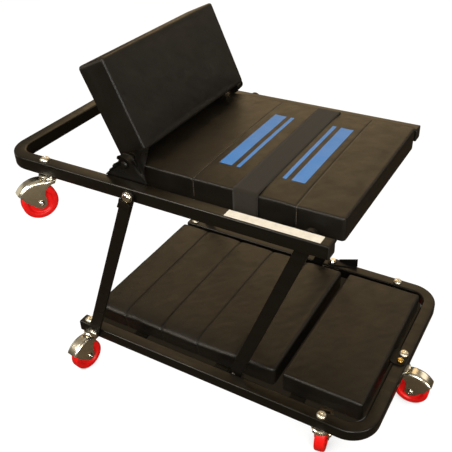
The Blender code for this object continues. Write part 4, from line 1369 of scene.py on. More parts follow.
@dataclass
class Pad:
    """One upholstered pad: foam swollen under vinyl wrapped round its board, sewn channels and thread."""

    name: str
    node: str
    body: str
    length: float
    width: float
    height: float
    seams: tuple[float, ...] = ()
    finish: Finish = BLACK_VINYL
    thread_finish: Finish = DARK_THREAD
    place: Optional[Matrix] = None
    band: Optional[tuple[float, float]] = None
    edge: float = 0.0045
    corner: float = 0.0070
    wrap: float = 0.0077
    tuck: float = 0.0025
    crown: float = 0.0012
    step: float = 0.0034
    voxel: float = 0.0055
    cap: float = 0.0032
    crease: float = 0.0005
    seam_depth: float = 0.0010
    quilt: float = 0.2
    slump: float = 0.0
    give: float = 0.0
    seed: float = 0.0
    pressure: float = 4.0
    frames: int = 20
    stitch_pitch: float = 0.0042
    stitch_long: float = 0.0034
    stitch_thick: float = 0.00075
    stitch_aside: float = 0.0012
    stitch_lift: float = 0.0001
    stitch_width: float = 0.0016
    valley_width: float = 0.012
    pinch_width: float = 0.005
    seam_clear: float = 0.007
    side_depth: float = 0.010
    rim_depth: float = 0.012
    wrap_hold: float = 0.008
    sewn_hold: float = 0.012
    neighbours: int = 8
    probe: float = 0.05
    probe_reach: float = 0.08

    @property
    def rim(self) -> float:
        """Height of the top along the pad's edges."""
        return self.height - self.crown

    def matrix(self) -> Matrix:
        """Matrix from the pad's corner frame to the row frame."""
        if self.place is not None:
            return self.place
        low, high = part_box(self.node)
        return Matrix.Translation((low.x, (low.y + high.y) / 2, low.z))

    def stations(self, low: float, high: float, seams: Sequence[float] = ()) -> np.ndarray:
        """Places of the grid lines along one direction, close together at the edges and at the seams.

        Args:
            low: First edge.
            high: Last edge.
            seams: Seams that cross this direction.

        Returns:
            The places in order.
        """
        round_off = self.edge * (1 - np.cos(np.radians((0, 18, 36, 54, 72))))
        middle = np.linspace(low + self.edge, high - self.edge, int((high - low) / self.step))
        aside = np.array((0.5, 1.0, 1.8, 2.8, 4.2, 6.0)) * 0.001
        close = np.concatenate((-aside[::-1], (0.0,), aside))
        for seam in seams:
            middle = np.concatenate((middle[np.abs(middle - seam) > self.seam_clear], seam + close))
        return np.concatenate((low + round_off, np.sort(middle), (high - round_off)[::-1]))

    def form(self) -> tuple[np.ndarray, list[tuple[int, ...]]]:
        """Box with rounded edges and corners, tucked under its board.

        Returns:
            Points in the pad's own frame, and faces.
        """
        xs = self.stations(0.0, self.length, self.seams)
        ys = self.stations(-self.width / 2, self.width / 2)
        nx, ny = len(xs), len(ys)
        x, y = np.meshgrid(xs, ys, indexing="ij")
        to_x, to_y = np.minimum(x, self.length - x), self.width / 2 - np.abs(y)
        fall = np.clip(self.edge - np.minimum(to_x, to_y), 0, self.edge)
        z = self.rim - self.edge + np.sqrt(np.maximum(self.edge ** 2 - fall ** 2, 0))
        in_x, in_y = np.clip(self.corner - to_x, 0, None), np.clip(self.corner - to_y, 0, None)
        out_x = np.where(x > self.length / 2, 1, -1) * in_x * np.sqrt(1 - in_y ** 2 / (2 * self.corner ** 2))
        out_y = np.sign(y) * in_y * np.sqrt(1 - in_x ** 2 / (2 * self.corner ** 2))
        x = np.clip(x, self.corner, self.length - self.corner) * (in_x > 0) + x * (in_x <= 0) + out_x
        half = self.width / 2 - self.corner
        y = np.clip(y, -half, half) * (in_y > 0) + y * (in_y <= 0) + out_y
        points = [np.stack((x, y, z), axis=-1).reshape(-1, 3)]
        faces = [(i * ny + j, (i + 1) * ny + j, (i + 1) * ny + j + 1, i * ny + j + 1)
                 for i in range(nx - 1) for j in range(ny - 1)]
        ring = [i * ny for i in range(nx)] + [(nx - 1) * ny + j for j in range(1, ny)]
        ring += [i * ny + ny - 1 for i in range(nx - 2, -1, -1)] + list(range(ny - 2, 0, -1))
        border = points[0][ring]
        away = np.stack((out_x.ravel()[ring], out_y.ravel()[ring], np.zeros(len(ring))), axis=-1)
        away /= np.linalg.norm(away, axis=1)[:, None]
        foot = self.tuck - self.wrap
        rows = [(level, 0.0) for level in np.linspace(self.rim - self.edge, foot, 12)[1:]]
        rows += [(foot - self.tuck * math.sin(a), self.tuck * (1 - math.cos(a)))
                 for a in np.radians((30, 60, 90))]
        for level, inset in rows:
            low_ring = border - away * inset
            low_ring[:, 2] = level
            start = sum(len(part) for part in points)
            after = list(range(start, start + len(ring)))
            points.append(low_ring)
            faces += zip(ring, after, after[1:] + after[:1], ring[1:] + ring[:1])
            ring = after
        faces.append(tuple(ring[::-1]))
        return np.concatenate(points), faces

    def mesh_from(self, points: np.ndarray, faces: Sequence[tuple[int, ...]]) -> Mesh:
        """Closed mesh of points and faces, with its faces turned outwards."""
        mesh = bpy.data.meshes.new(self.name + "_cover")
        mesh.from_pydata(points.tolist(), [], faces)
        shape = bmesh.new()
        shape.from_mesh(mesh)
        bmesh.ops.recalc_face_normals(shape, faces=shape.faces[:])
        shape.to_mesh(mesh)
        shape.free()
        return mesh

    def held(self, points: np.ndarray) -> np.ndarray:
        """How firmly each point is held: what wraps the board and the sewn edges doesn't move.

        Args:
            points: Points in the pad's own frame.

        Returns:
            Weights from 0 to 1.
        """
        x, y, z = points.T
        side = np.minimum(np.minimum(x, self.length - x), self.width / 2 - np.abs(y))
        under = np.clip(1 - z / self.wrap_hold, 0, 1)
        sewn = np.clip(1 - np.maximum(side, self.rim - z) / self.sewn_hold, 0, 1)
        return np.maximum(under, sewn)

    def even(self, mesh: Mesh) -> Mesh:
        """Copy of the form, remeshed into even quads for the cloth."""
        item = Builder.show("pad_start", mesh.copy())
        remesh = item.modifiers.new("even", "REMESH")
        remesh.mode = "VOXEL"
        remesh.voxel_size = self.voxel
        made = Builder.baked(item)
        bpy.data.objects.remove(item)
        return made

    @staticmethod
    def places(mesh: Mesh) -> np.ndarray:
        """Points of a mesh as rows."""
        flat = np.empty(len(mesh.vertices) * 3)
        mesh.vertices.foreach_get("co", flat)
        return flat.reshape(-1, 3)

    def swell(self, points: np.ndarray, mesh: Mesh) -> np.ndarray:
        """Let the foam swell under the vinyl, and cap how far a point moves.

        Args:
            points: Points of the form.
            mesh: The form's mesh.

        Returns:
            The swollen points.
        """
        even = self.even(mesh)
        rest = self.places(even)
        moved = self.simulate(even, self.held(rest)) - rest
        tree = KDTree(len(rest))
        for index, place in enumerate(rest):
            tree.insert(place, index)
        tree.balance()
        push = np.zeros_like(points)
        for index, point in enumerate(points):
            near = tree.find_n(point, self.neighbours)
            weight = np.array([1 / (found[2] + 0.002) for found in near])
            push[index] = weight @ moved[[found[1] for found in near]] / weight.sum()
        length = np.linalg.norm(push, axis=1)
        push *= (self.cap * np.tanh(length / self.cap) / np.maximum(length, 1e-9))[:, None]
        return points + push * (1 - self.held(points))[:, None]

    def simulate(self, mesh: Mesh, firm: np.ndarray) -> np.ndarray:
        """Run the cloth under pressure.

        Args:
            mesh: The even mesh.
            firm: How firmly each point is held.

        Returns:
            The points after the run.
        """
        item = Builder.show("pad_cloth", mesh)
        group = item.vertex_groups.new(name="held")
        group.add([int(index) for index in np.nonzero(firm > 0.5)[0]], 1.0, "REPLACE")
        modifier = item.modifiers.new("vinyl", "CLOTH")
        settings = modifier.settings
        settings.quality = 5
        settings.mass = 0.35
        settings.tension_stiffness = 18
        settings.compression_stiffness = 18
        settings.bending_stiffness = 1.2
        settings.use_pressure = True
        settings.uniform_pressure_force = self.pressure
        settings.vertex_group_mass = "held"
        settings.effector_weights.gravity = 0.0
        modifier.collision_settings.use_collision = False
        modifier.point_cache.frame_start = 1
        modifier.point_cache.frame_end = self.frames
        scene = bpy.context.scene
        for step in range(1, self.frames + 1):
            scene.frame_set(step)
        graph = bpy.context.evaluated_depsgraph_get()
        points = self.places(item.evaluated_get(graph).to_mesh())
        bpy.data.objects.remove(item)
        scene.frame_set(1)
        return points

    def sew(self, points: np.ndarray) -> np.ndarray:
        """Draw in the sewn channels, press in the band, let the soft edge sink and lay creases.

        Args:
            points: Points of the swollen form.

        Returns:
            The points of the finished cover.
        """
        made = points.copy()
        x, y, z = points.T
        high = np.clip((z - 0.2 * self.height) / (0.6 * self.height), 0, 1)
        to_side = self.width / 2 - np.abs(y)
        side = np.clip(1 - to_side / self.side_depth, 0, 1)
        rim = np.exp(-(to_side / self.rim_depth) ** 2) * high
        for seam in self.seams:
            gap = np.abs(x - seam)
            stitch = np.exp(-(gap / self.stitch_width) ** 2)
            valley = stitch + self.quilt * np.exp(-(gap / self.valley_width) ** 2)
            made[:, 2] -= self.seam_depth * valley * high * (1 - 0.5 * side)
            pinch = self.quilt * np.exp(-(gap / self.pinch_width) ** 2)
            made[:, 1] -= np.sign(y) * self.seam_depth * (0.7 * stitch + pinch) * side
            made[:, 2] -= self.seam_depth * pinch * rim
        creases = np.array([noise.noise(Vector((px * 26 + self.seed, py * 17, self.seed)))
                            + 0.6 * noise.noise(Vector((px * 70 - py * 38, py * 44 + self.seed, 3.0)))
                            for px, py in zip(x, y)])
        made[:, 2] += self.crease * creases * high * (1 - 0.6 * side)
        ripple = np.array([noise.noise(Vector((px * 34 + self.seed, pz * 30, 9.0))) for px, pz in zip(x, z)])
        made[:, 1] += np.sign(y) * 1.2 * self.crease * ripple * side * np.clip(z / 0.010, 0, 1)
        if self.slump > 0:
            along = np.clip((0.90 * self.length - x) / (0.30 * self.length), 0, 1) * (y < 0)
            made[:, 1] -= self.slump * rim * along
            made[:, 2] -= 0.8 * self.slump * rim * along * np.clip(1.3 - to_side / 0.020, 0, 1)
        if self.band is not None:
            middle, half = self.band
            pressed = np.clip(1.25 - np.abs(x - middle) / (half * 1.3), 0, 1)
            limit = self.height - 0.0012 + (1 - pressed) * 0.004
            made[:, 2] = np.where(pressed > 0, np.minimum(made[:, 2], limit), made[:, 2])
            tight = self.width / 2 + 0.0004 + (1 - pressed) * 0.003
            made[:, 1] = np.where(pressed > 0, np.clip(made[:, 1], -tight, tight), made[:, 1])
        return made

    def cover(self) -> Mesh:
        """The whole cover, in the row frame.

        Returns:
            The cover's mesh.
        """
        points, faces = self.form()
        swollen = self.swell(points, self.mesh_from(points, faces))
        made = self.mesh_from(self.sew(swollen), faces)
        made.transform(self.matrix())
        made.update()
        return made

    def seam_line(self, tree: BVHTree, seam: float) -> list[Vector]:
        """Line on the cover along one seam, up one side, over the top and down the other.

        Args:
            tree: The cover's faces.
            seam: Place of the thread along the pad.

        Returns:
            Points just above the cover, in the row frame.
        """
        half, rise = self.width / 2 - self.edge, self.rim - self.edge
        near = [((half + self.probe, level), (-1.0, 0.0)) for level in np.linspace(0.002, rise, 9)]
        for angle in np.radians((15, 35, 55, 75)):
            way = (math.cos(angle), math.sin(angle))
            start = (half + self.probe * way[0], rise + self.probe * way[1])
            near.append((start, (-way[0], -way[1])))
        probes = [((-a, b), (-c, d)) for (a, b), (c, d) in near]
        probes += [((y, self.height + self.probe), (0.0, -1.0)) for y in np.linspace(-half, half, 80)]
        probes += near[::-1]
        matrix = self.matrix()
        turn = matrix.to_3x3()
        line = []
        for (y, z), (way_y, way_z) in probes:
            start, way = matrix @ Vector((seam, y, z)), turn @ Vector((0, way_y, way_z))
            place, normal, _, _ = tree.ray_cast(start, way, self.probe_reach)
            if place is not None:
                line.append(place + normal * self.stitch_lift)
        return line

    def thread(self, cover: Mesh) -> Optional[Mesh]:
        """Thread along the sewn channels.

        Args:
            cover: The finished cover.

        Returns:
            The thread's mesh, or None on a pad with no seams.
        """
        if not self.seams:
            return None
        corners = [vertex.co.copy() for vertex in cover.vertices]
        tree = BVHTree.FromPolygons(corners, [tuple(face.vertices) for face in cover.polygons])
        shape = bmesh.new()
        for seam in self.seams:
            line = [shape.verts.new(point) for point in self.seam_line(tree, seam + self.stitch_aside)]
            for a, b in zip(line, line[1:]):
                shape.edges.new((a, b))
        runs = bpy.data.meshes.new("thread_lines")
        shape.to_mesh(runs)
        shape.free()
        values = {"Pitch": self.stitch_pitch, "Stitch": self.stitch_long, "Thread": self.stitch_thick,
                  "Finish": self.thread_finish.material()}
        return Repeats.run(Repeats.thread_tree(), runs, values, self.name + "_thread")

    def yields(self, item: bpy.types.Object) -> None:
        """Give a piece of a pad that gives a mesh of its own."""
        if self.give > 0:
            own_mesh(item)

    def build(self) -> None:
        """Build the cover and its thread."""
        mesh = self.cover()
        thread = self.thread(mesh)
        item = Piece(self.name + "_cover", mesh, self.finish, self.body, (self.node,), smooth=180).hang()
        self.yields(item)
        if thread is not None:
            item = Piece(self.name + "_thread", thread, self.thread_finish, self.body, smooth=180).hang()
            self.yields(item)


@dataclass
class SeatBand:
    """Woven elastic band round the seat pad and its board."""

    node: str = "seat_elastic_band"
    body: str = "upper_frame"
    thick: float = 0.0012
    edge: float = 0.0065

    def build(self) -> None:
        """Build the band as a closed loop with soft corners."""
        low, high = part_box(self.node)
        y, bottom, top = high.y - self.thick, low.z + self.thick, high.z - self.thick
        corner = [(0.0, bottom), (y, bottom), (y, top), (0.0, top)]
        right = Builder.rounded(corner, self.edge, 6)
        loop = right + [(-a, b) for a, b in reversed(right)][1:-1]
        shape = bmesh.new()
        rings = []
        count = 8
        for step in range(count + 1):
            x = low.x + (high.x - low.x) * step / count
            rim = 0.0003 * (2 * step / count - 1) ** 6
            rings.append([shape.verts.new((x, a * (1 - rim), b)) for a, b in loop])
        Builder.skin(shape, rings)
        mesh = Builder.mesh_of(shape, "elastic_band")
        item = Piece("elastic_band", mesh, GREY_ELASTIC, self.body, (self.node,), smooth=60).hang()
        solid = item.modifiers.new("thick", "SOLIDIFY")
        solid.thickness = self.thick
        solid.offset = 1.0


@dataclass
class BlankLabel:
    """Blank paper label stuck on the top face of the near upper rail."""

    body: str = "upper_frame"
    low: Point = (0.0787, -0.2166)
    high: Point = (0.2400, -0.1986)
    corner: float = 0.0012
    thick: float = 0.00018
    glue: float = 0.00004

    def build(self) -> None:
        """Build the label with round corners."""
        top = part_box("upper_frame_weldment")[1].z
        (x0, y0), (x1, y1) = self.low, self.high
        outline: list[Point] = []
        centres = ((x1, y1, 0), (x0, y1, 90), (x0, y0, 180), (x1, y0, 270))
        for x, y, start in centres:
            in_x = math.copysign(self.corner, x - (x0 + x1) / 2)
            in_y = math.copysign(self.corner, y - (y0 + y1) / 2)
            outline += Builder.arc((x - in_x, y - in_y), self.corner, start, start + 90, 4)
        shape = bmesh.new()
        Builder.outline_prism(shape, outline, top + self.glue, top + self.glue + self.thick, Builder.flat)
        Piece("blank_label", Builder.mesh_of(shape, "blank_label"), BLANK_PAPER, self.body).hang()


@dataclass
class HingeBracket:
    """Pressed bracket that carries one end of the headrest: a round-topped plate with curled edges."""

    side: Side
    body: str = "upper_frame"
    face: float = 0.1947
    plate: float = 0.0030
    crest: Point = (0.0050, 0.0030)
    crest_round: float = 0.0185
    far_round: float = 0.0095
    far_foot: float = 0.0140
    front_foot: float = 0.0420
    rear_foot: float = 0.0430
    rise: float = 0.0277
    skirt: float = 0.0200
    curl: float = 0.0140
    curl_plate: float = 0.0020
    curl_lift: float = 0.0026
    blade_plate: float = 0.0016
    blade_dish: float = 0.0022
    blade_outside: tuple[Point, ...] = (
        (0.0262, 0.0345), (0.0260, 0.0153), (0.0295, 0.0030), (0.0337, -0.0111), (0.0404, -0.0259))
    blade_inside: tuple[Triple, ...] = (
        (0.0372, 0.1728, 0.0285), (0.0324, 0.1760, 0.0077), (0.0309, 0.1815, -0.0033),
        (0.0335, 0.1880, -0.0127), (0.0408, 0.1935, -0.0252))

    def edges(self) -> tuple[list[Point], list[Point]]:
        """Front edge, from behind the round top over it and down, and rear edge from the top down."""
        front = Builder.arc(self.crest, self.crest_round, 160, 20, 20)
        front += Builder.rounded([front.pop(), (0.74 * self.front_foot, -0.22 * self.rise),
                                  (0.88 * self.front_foot, -0.55 * self.rise),
                                  (self.front_foot, -0.95 * self.rise)], 0.009, 5)
        rear = Builder.arc(self.crest, self.crest_round, 178, 195, 3)
        rear += Builder.rounded([rear.pop(), (-0.58 * self.rear_foot, -0.40 * self.rise),
                                 (-self.rear_foot, -0.95 * self.rise)], 0.011, 6)
        return front, rear

    def plain_outline(self) -> list[Point]:
        """Outline of the far bracket, a plain plate that leans forward from its foot to the hinge."""
        foot = -self.rise - self.skirt
        top = Builder.arc((0, 0), self.far_round, 135, -45, 14)
        return top + [(-self.far_foot, -self.rise), (-self.far_foot, foot), (-self.rear_foot, foot),
                      (-self.rear_foot, -0.95 * self.rise)]

    def put(self, x: float, level: float, z: float) -> Vector:
        """Place a point about the hinge, with a level along this side's Y."""
        hinge = Joints.place("headrest_tilt")
        return Vector((hinge.x + x, self.side.value * level, hinge.z + z))

    def flange(self, shape: Shape, edge: Sequence[Point], start: float) -> None:
        """Curl one edge of the plate outwards, tapering to its foot.

        Args:
            shape: Mesh to add to.
            edge: Points along the edge.
            start: Share of the full width at the first point.
        """
        rings = []
        last = len(edge) - 1
        for index, point in enumerate(edge):
            t = index / last
            share = min(start + 2.2 * t, 1.0) * (1 - 0.82 * max(0.0, t - 0.45) / 0.55)
            before, after = Vector(edge[max(index - 1, 0)]), Vector(edge[min(index + 1, last)])
            way = (after - before).normalized()
            out = Vector((-way.y, way.x))
            out = out if out.dot(Vector(point)) > 0 else -out
            outer, inner = [], []
            for step in range(6):
                s = step / 5
                level = self.face - self.plate / 2 + (self.curl * share + self.plate / 2) * s
                lift = self.curl_lift * share * s * s
                for row, depth in ((outer, CLEAR), (inner, self.curl_plate)):
                    place = Vector(point) + out * (lift - depth)
                    row.append(shape.verts.new(self.put(place.x, level, place.y)))
            rings.append(outer + inner[::-1])
        Builder.capped(shape, rings)

    def blade(self) -> Mesh:
        """Dished blade turned in from the plate's front edge, wide at the top and drawn to a tip at its foot.

        Returns:
            The blade's mesh.
        """
        shape = bmesh.new()
        rings = []
        widest = self.face - self.blade_inside[0][1]
        for (x0, z0), (x1, level, z1) in zip(self.blade_outside, self.blade_inside):
            front, back = [], []
            for step in range(7):
                s = step / 6
                dish = self.blade_dish * math.sin(math.pi * s) * (self.face - level) / widest
                x = x0 + (x1 - x0) * s - dish
                y, z = self.face + (level - self.face) * s, z0 + (z1 - z0) * s
                for row, depth in ((front, 0.0), (back, self.blade_plate)):
                    row.append(shape.verts.new(self.put(x - depth, y, z)))
            rings.append(front + back[::-1])
        Builder.capped(shape, rings)
        return Builder.mesh_of(shape, "hinge_blade")

    def build(self) -> None:
        """Build the plate and, on the near side, its curled edges and blade."""
        near, tag = self.side is Side.NEAR, self.side.tag
        front, rear = self.edges()
        foot = -self.rise - self.skirt
        outline = front + [(self.front_foot, foot), (-self.rear_foot, foot)] + rear[::-1]
        outline = outline if near else self.plain_outline()
        shape = bmesh.new()
        Builder.outline_prism(shape, outline, self.face - self.plate, self.face,
                              lambda a, b, level: self.put(a, level, b))
        plate = Builder.mesh_of(shape, "hinge_plate")
        node = "headrest_bracket_" + tag
        Piece("hinge_plate_" + tag, plate, BLACK_PAINT, self.body, (node,), bevel=0.0005).hang()
        if near:
            shape = bmesh.new()
            self.flange(shape, front, 0.25)
            self.flange(shape, rear, 0.75)
            curls = Builder.mesh_of(shape, "hinge_curls")
            Piece("hinge_curls", curls, BLACK_PAINT, self.body, bevel=0.0004).hang()
            Piece("hinge_blade", self.blade(), BLACK_PAINT, self.body).hang()


@dataclass
class SmallHardware:
    """Solids that stay as packed and take a finish, with worn edges rounded, and the keeper's brass stud."""

    painted: tuple[str, ...] = ("headrest_hinge_plate", "headrest_bolt_near", "headrest_bolt_far")
    # Solids in the darker copy of the black paint, a painted shade
    painted_shade_parts: tuple[str, ...] = ("lock_lever", "keeper_plate")
    plugs: tuple[str, ...] = ("lower_plug_near", "lower_plug_far", "upper_plug_near", "upper_plug_far")
    boards: tuple[str, ...] = ("back_pad_board", "foot_pad_board", "seat_board")
    stud_radius: float = 0.0064

    def dress(self, node: str, finish: Finish, edge: float) -> None:
        """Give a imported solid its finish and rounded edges.

        Args:
            node: Name of the node.
            finish: Its finish.
            edge: Width of the rounded edges.
        """
        item = frame["nodes"][node]
        item.data.materials.clear()
        item.data.materials.append(finish.material())
        weld = item.modifiers.new("weld", "WELD")
        weld.merge_threshold = 1e-5
        bevel = item.modifiers.new("edges", "BEVEL")
        bevel.width = edge
        bevel.segments = 2
        bevel.limit_method = "ANGLE"
        bevel.angle_limit = math.radians(40)
        LOG.info("%s keeps its solid, in %s", node, finish.name)

    def stud(self) -> Mesh:
        """Brass stud with a round shoulder and a slot ring, in the keeper plate.

        Returns:
            The stud's mesh.
        """
        low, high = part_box("keeper_screw")
        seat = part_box("keeper_plate")[1].z + 0.0002
        r = self.stud_radius
        profile = [(0.0, low.z), (0.0028, low.z), (0.0028, seat), (r - 0.0004, seat), (r, seat + 0.0006),
                   (r, seat + 0.0036), (0.93 * r, seat + 0.0048), (0.74 * r, seat + 0.0056),
                   (0.50 * r, seat + 0.0058), (0.44 * r, seat + 0.0052), (0.0, seat + 0.0050)]
        middle = (low + high) / 2
        return Builder.turning("brass_stud", profile, Matrix.Translation((middle.x, middle.y, 0)), 36)

    def build(self) -> None:
        """Dress every solid that shows as it is, and build the stud."""
        for nodes, finish, edge in ((self.painted, BLACK_PAINT, 0.0005), (self.painted_shade_parts, PAINTED_SHADE_BLACK, 0.0005),
                                    (self.plugs, BLACK_PLASTIC, 0.0005), (self.boards, WRAPPED_BOARD, 0.001),
                                    (("headrest_board",), BLACK_VINYL, 0.0015),
                                    (("lock_bolt",), CHROME_PLATE, 0.0004)):
            for node in nodes:
                self.dress(node, finish, edge)
        Piece("brass_stud", self.stud(), BRASS_METAL, "lower_frame", ("keeper_screw",)).hang()


@dataclass
class Studio:
    """Floor, soft light and the camera at the photograph's angle."""

    eye: Triple = (0.5267, -0.9319, 1.0388)
    right: Triple = (0.8626, 0.5043, -0.0390)
    up: Triple = (-0.2570, 0.5035, 0.8248)
    lens: float = 52.34
    floor: Colour = (1.0, 1.0, 1.0)
    # Colour of the painted shadow on the floor close under the creeper
    under: Colour = (0.018, 0.014, 0.009)
    bounce: Colour = (0.100, 0.081, 0.056)
    horizon: Colour = (0.040, 0.032, 0.024)
    zenith: Colour = (0.30, 0.26, 0.20)
    dusk: Point = (-0.05, 0.9)
    # Painted shadow: a dark rectangle on the floor under the creeper, set for the camera's angle, with how far
    # it spreads and fades
    shadow: tuple[Point, Point] = ((-0.305, 0.25), (-0.07, 0.265))
    spread: float = 0.05
    fade: float = 0.02
    reach: float = 0.12
    glow: float = 0.90
    glow_strength: float = 1.08
    floor_half: float = 30.0
    aim: Triple = (0.0, 0.0, 0.35)

    def camera(self) -> None:
        """Set the camera."""
        data = bpy.data.cameras.new("camera")
        data.lens = self.lens
        data.sensor_width = 36.0
        data.clip_start = 0.05
        right, up = Vector(self.right).normalized(), Vector(self.up).normalized()
        back = right.cross(up)
        turn = Matrix((right, up, back)).transposed()
        item = Builder.show("camera", data)
        item.matrix_world = Matrix.Translation(self.eye) @ turn.to_4x4()
        bpy.context.scene.camera = item

    def ground(self) -> None:
        """Lay the floor: white to the camera, with a painted shadow close under the creeper and a soft cast
        shadow.
        """
        shape = bmesh.new()
        bmesh.ops.create_grid(shape, x_segments=1, y_segments=1, size=self.floor_half)
        mesh = bpy.data.meshes.new("floor")
        shape.to_mesh(mesh)
        shape.free()
        tree = ShaderTree("pale_floor")
        tree.set(Roughness=0.9, Specular_IOR_Level=0.0)
        near = tree.nodes.new("ShaderNodeAmbientOcclusion")
        near.samples = 16
        near.inputs["Distance"].default_value = self.reach
        # Painted shadow: dark inside the rectangle, fading out past its edge, and darker near the creeper by
        # ambient occlusion
        gaps = []
        for index, (low, high) in enumerate(self.shadow):
            away = tree.maths("ABSOLUTE", tree.maths("SUBTRACT", tree.axis(index), (low + high) / 2))
            gap = tree.maths("MAXIMUM", tree.maths("SUBTRACT", away, (high - low) / 2), 0.0)
            gaps.append(tree.maths("MULTIPLY", gap, gap))
        gap = tree.maths("SQRT", tree.maths("ADD", gaps[0], gaps[1]))
        painted_contact_shade = tree.remap(near.outputs["AO"], 0.10, 0.50, 0.35, 1.0)
        clear = tree.remap(gap, self.spread, self.spread + self.fade, 0.0, 1.0)
        shade = tree.blend(tree.maths("MULTIPLY", clear, painted_contact_shade), self.under, self.floor)
        path = tree.nodes.new("ShaderNodeLightPath")
        seen = path.outputs["Is Camera Ray"]
        tree.colour(tree.blend(seen, self.bounce, shade))
        glow = tree.nodes.new("ShaderNodeEmission")
        tree.link(shade, glow.inputs["Color"])
        glow.inputs["Strength"].default_value = self.glow_strength
        mix = tree.nodes.new("ShaderNodeMixShader")
        tree.link(tree.maths("MULTIPLY", seen, self.glow), mix.inputs[0])
        tree.link(tree.shader.outputs[0], mix.inputs[1])
        tree.link(glow.outputs[0], mix.inputs[2])
        tree.link(mix.outputs[0], tree.nodes["Material Output"].inputs[0])
        mesh.materials.append(tree.material)
        item = Builder.show("floor", mesh)

    def lamp(self, name: str, place: Sequence[float], size: float, power: float, colour: Colour) -> None:
        """Add one soft box that points at the creeper.

        Args:
            name: Name of the lamp.
            place: Where it hangs.
            size: Side of the box.
            power: Its power in watts.
            colour: Its colour.
        """
        data = bpy.data.lights.new(name, "AREA")
        data.size = size
        data.energy = power
        data.color = colour
        item = Builder.show(name, data)
        item.location = place
        item.rotation_euler = (Vector(self.aim) - Vector(place)).to_track_quat("-Z", "Y").to_euler()

    def world(self) -> None:
        """Light the room from above, dark at the horizon, with a white backdrop for the camera."""
        world = bpy.data.worlds.new("studio")
        bpy.context.scene.world = world
        world.use_nodes = True
        wires = Wires(world.node_tree)
        way = wires.nodes.new("ShaderNodeTexCoord").outputs["Generated"]
        rise = wires.remap(wires.split(way, 2), *self.dusk)
        room = wires.blend(rise, self.horizon, self.zenith)
        seen = wires.nodes.new("ShaderNodeLightPath").outputs["Is Camera Ray"]
        background = wires.nodes["Background"]
        wires.link(wires.blend(seen, room, self.floor), background.inputs["Color"])
        background.inputs["Strength"].default_value = 1.0

    def build(self) -> None:
        """Set up the whole studio."""
        self.camera()
        self.ground()
        self.world()
        self.lamp("key_box", (-1.2, -1.4, 2.0), 1.0, 32.0, (1.0, 0.93, 0.80))
        self.lamp("front_box", (1.0, -2.0, 1.7), 1.2, 46.0, (1.0, 0.97, 0.92))
        self.lamp("side_box", (2.6, -1.1, 0.80), 0.9, 24.0, (1.0, 0.95, 0.86))
        self.lamp("left_box", (-2.4, -0.3, 0.5), 1.3, 3.0, (1.0, 0.93, 0.76))
        self.lamp("sheen_box", (-0.9, 2.1, 1.8), 2.6, 24.0, (1.0, 0.70, 0.36))
        self.lamp("back_box", (1.5, 1.9, 1.3), 1.0, 4.0, (1.0, 0.90, 0.74))
        bpy.context.scene.view_settings.view_transform = "Standard"


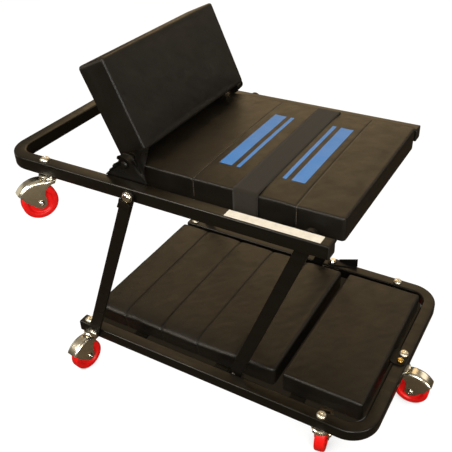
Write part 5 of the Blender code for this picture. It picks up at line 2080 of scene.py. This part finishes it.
@dataclass
class Creeper:
    """The whole creeper, put together in order."""

    tilt: float = 23.9
    pad_width: float = 0.336
    pad_height: float = 0.0352
    headrest: tuple[float, float] = (0.165, 0.0537)
    hinge_below: float = 0.0064
    hinge_behind: float = 0.0324
    seat_spare: float = 0.0130
    seat_seams: tuple[float, ...] = (0.1171, 0.3031)
    back_seams: tuple[float, ...] = (0.074, 0.164, 0.250, 0.336)
    back_strap: float = 0.112
    foot_strap: float = 0.062
    seat_straps: tuple[float, float] = (0.0811, 0.090)
    keeper_lift: float = 0.0033

    def frames(self) -> None:
        """Build both frames."""
        low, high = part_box("back_pad")
        foot = Joints.place("foot_caster_near_turn").x
        straps = (low.x + self.back_strap, high.x - self.back_strap, foot - self.foot_strap)
        TubeFrame("lower_frame", "lower_frame", "lower_frame_weldment", 1, straps).build()
        low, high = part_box("seat_pad")
        straps = (low.x + self.seat_straps[0], high.x - self.seat_straps[1])
        TubeFrame("upper_frame", "upper_frame", "upper_frame_weldment", -1, straps).build()

    def casters(self) -> None:
        """Build the seven casters."""
        lower_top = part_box("lower_frame_weldment")[1].z
        upper_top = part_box("upper_frame_weldment")[1].z
        for place in ("open_end", "foot"):
            for side in Side:
                Caster(place + "_caster_" + side.tag, "lower_frame", lower_top).build()
        Caster("centre_caster", "lower_frame", lower_top, self.keeper_lift).build()
        for side in Side:
            Caster("head_caster_" + side.tag, "upper_frame", upper_top).build()

    def headrest_place(self) -> Matrix:
        """Matrix from the headrest pad's own frame to the row frame."""
        lean = math.radians(self.tilt)
        up = Vector((-math.sin(lean), 0, math.cos(lean)))
        face = Vector((math.cos(lean), 0, math.sin(lean)))
        axes = Matrix((up, face.cross(up), face)).transposed().to_4x4()
        shift = Matrix.Translation((self.hinge_below, 0, self.hinge_behind - self.headrest[1]))
        return Matrix.Translation(Joints.place("headrest_tilt")) @ axes @ shift

    def pads(self) -> None:
        """Build the four pads and the seat's band."""
        low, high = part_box("seat_pad")
        band_low, band_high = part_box("seat_elastic_band")
        rear = low.x - self.seat_spare
        band = ((band_low.x + band_high.x) / 2 - rear, (band_high.x - band_low.x) / 2)
        seams = tuple(seam + self.seat_spare for seam in self.seat_seams)
        Pad("seat", "seat_pad", "upper_frame", high.x - rear, self.pad_width, self.pad_height, seams,
            SEAT_VINYL, PALE_THREAD, Matrix.Translation((rear, 0, low.z)), band, edge=0.0042, crease=0.0004,
            give=self.seat_spare, seed=1.0).build()
        low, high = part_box("back_pad")
        Pad("back", "back_pad", "lower_frame", high.x - low.x, self.pad_width, self.pad_height,
            self.back_seams, edge=0.0080, corner=0.0100, crease=0.0008, seam_depth=0.0015, quilt=0.7,
            slump=0.0045, seed=7.0).build()
        low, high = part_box("foot_pad")
        Pad("foot", "foot_pad", "lower_frame", high.x - low.x, self.pad_width, self.pad_height, edge=0.0055,
            crease=0.0006, seed=12.0).build()
        Pad("headrest", "headrest_pad", "headrest", self.headrest[0], self.pad_width, self.headrest[1],
            place=self.headrest_place(), edge=0.0045, crease=0.0005, seed=20.0).build()
        SeatBand().build()

    def fittings(self) -> None:
        """Build the headrest's brackets and the label, and dress the small solids."""
        for side in Side:
            HingeBracket(side).build()
        BlankLabel().build()
        SmallHardware().build()

    def build(self) -> None:
        """Build everything."""
        self.frames()
        Linkage().build()
        self.casters()
        self.pads()
        self.fittings()
        Studio().build()


def main() -> None:
    """Build the creeper."""
    logging.basicConfig(level=logging.INFO, format="%(name)s: %(message)s")
    Creeper().build()


if __name__ == "__main__":
    main()
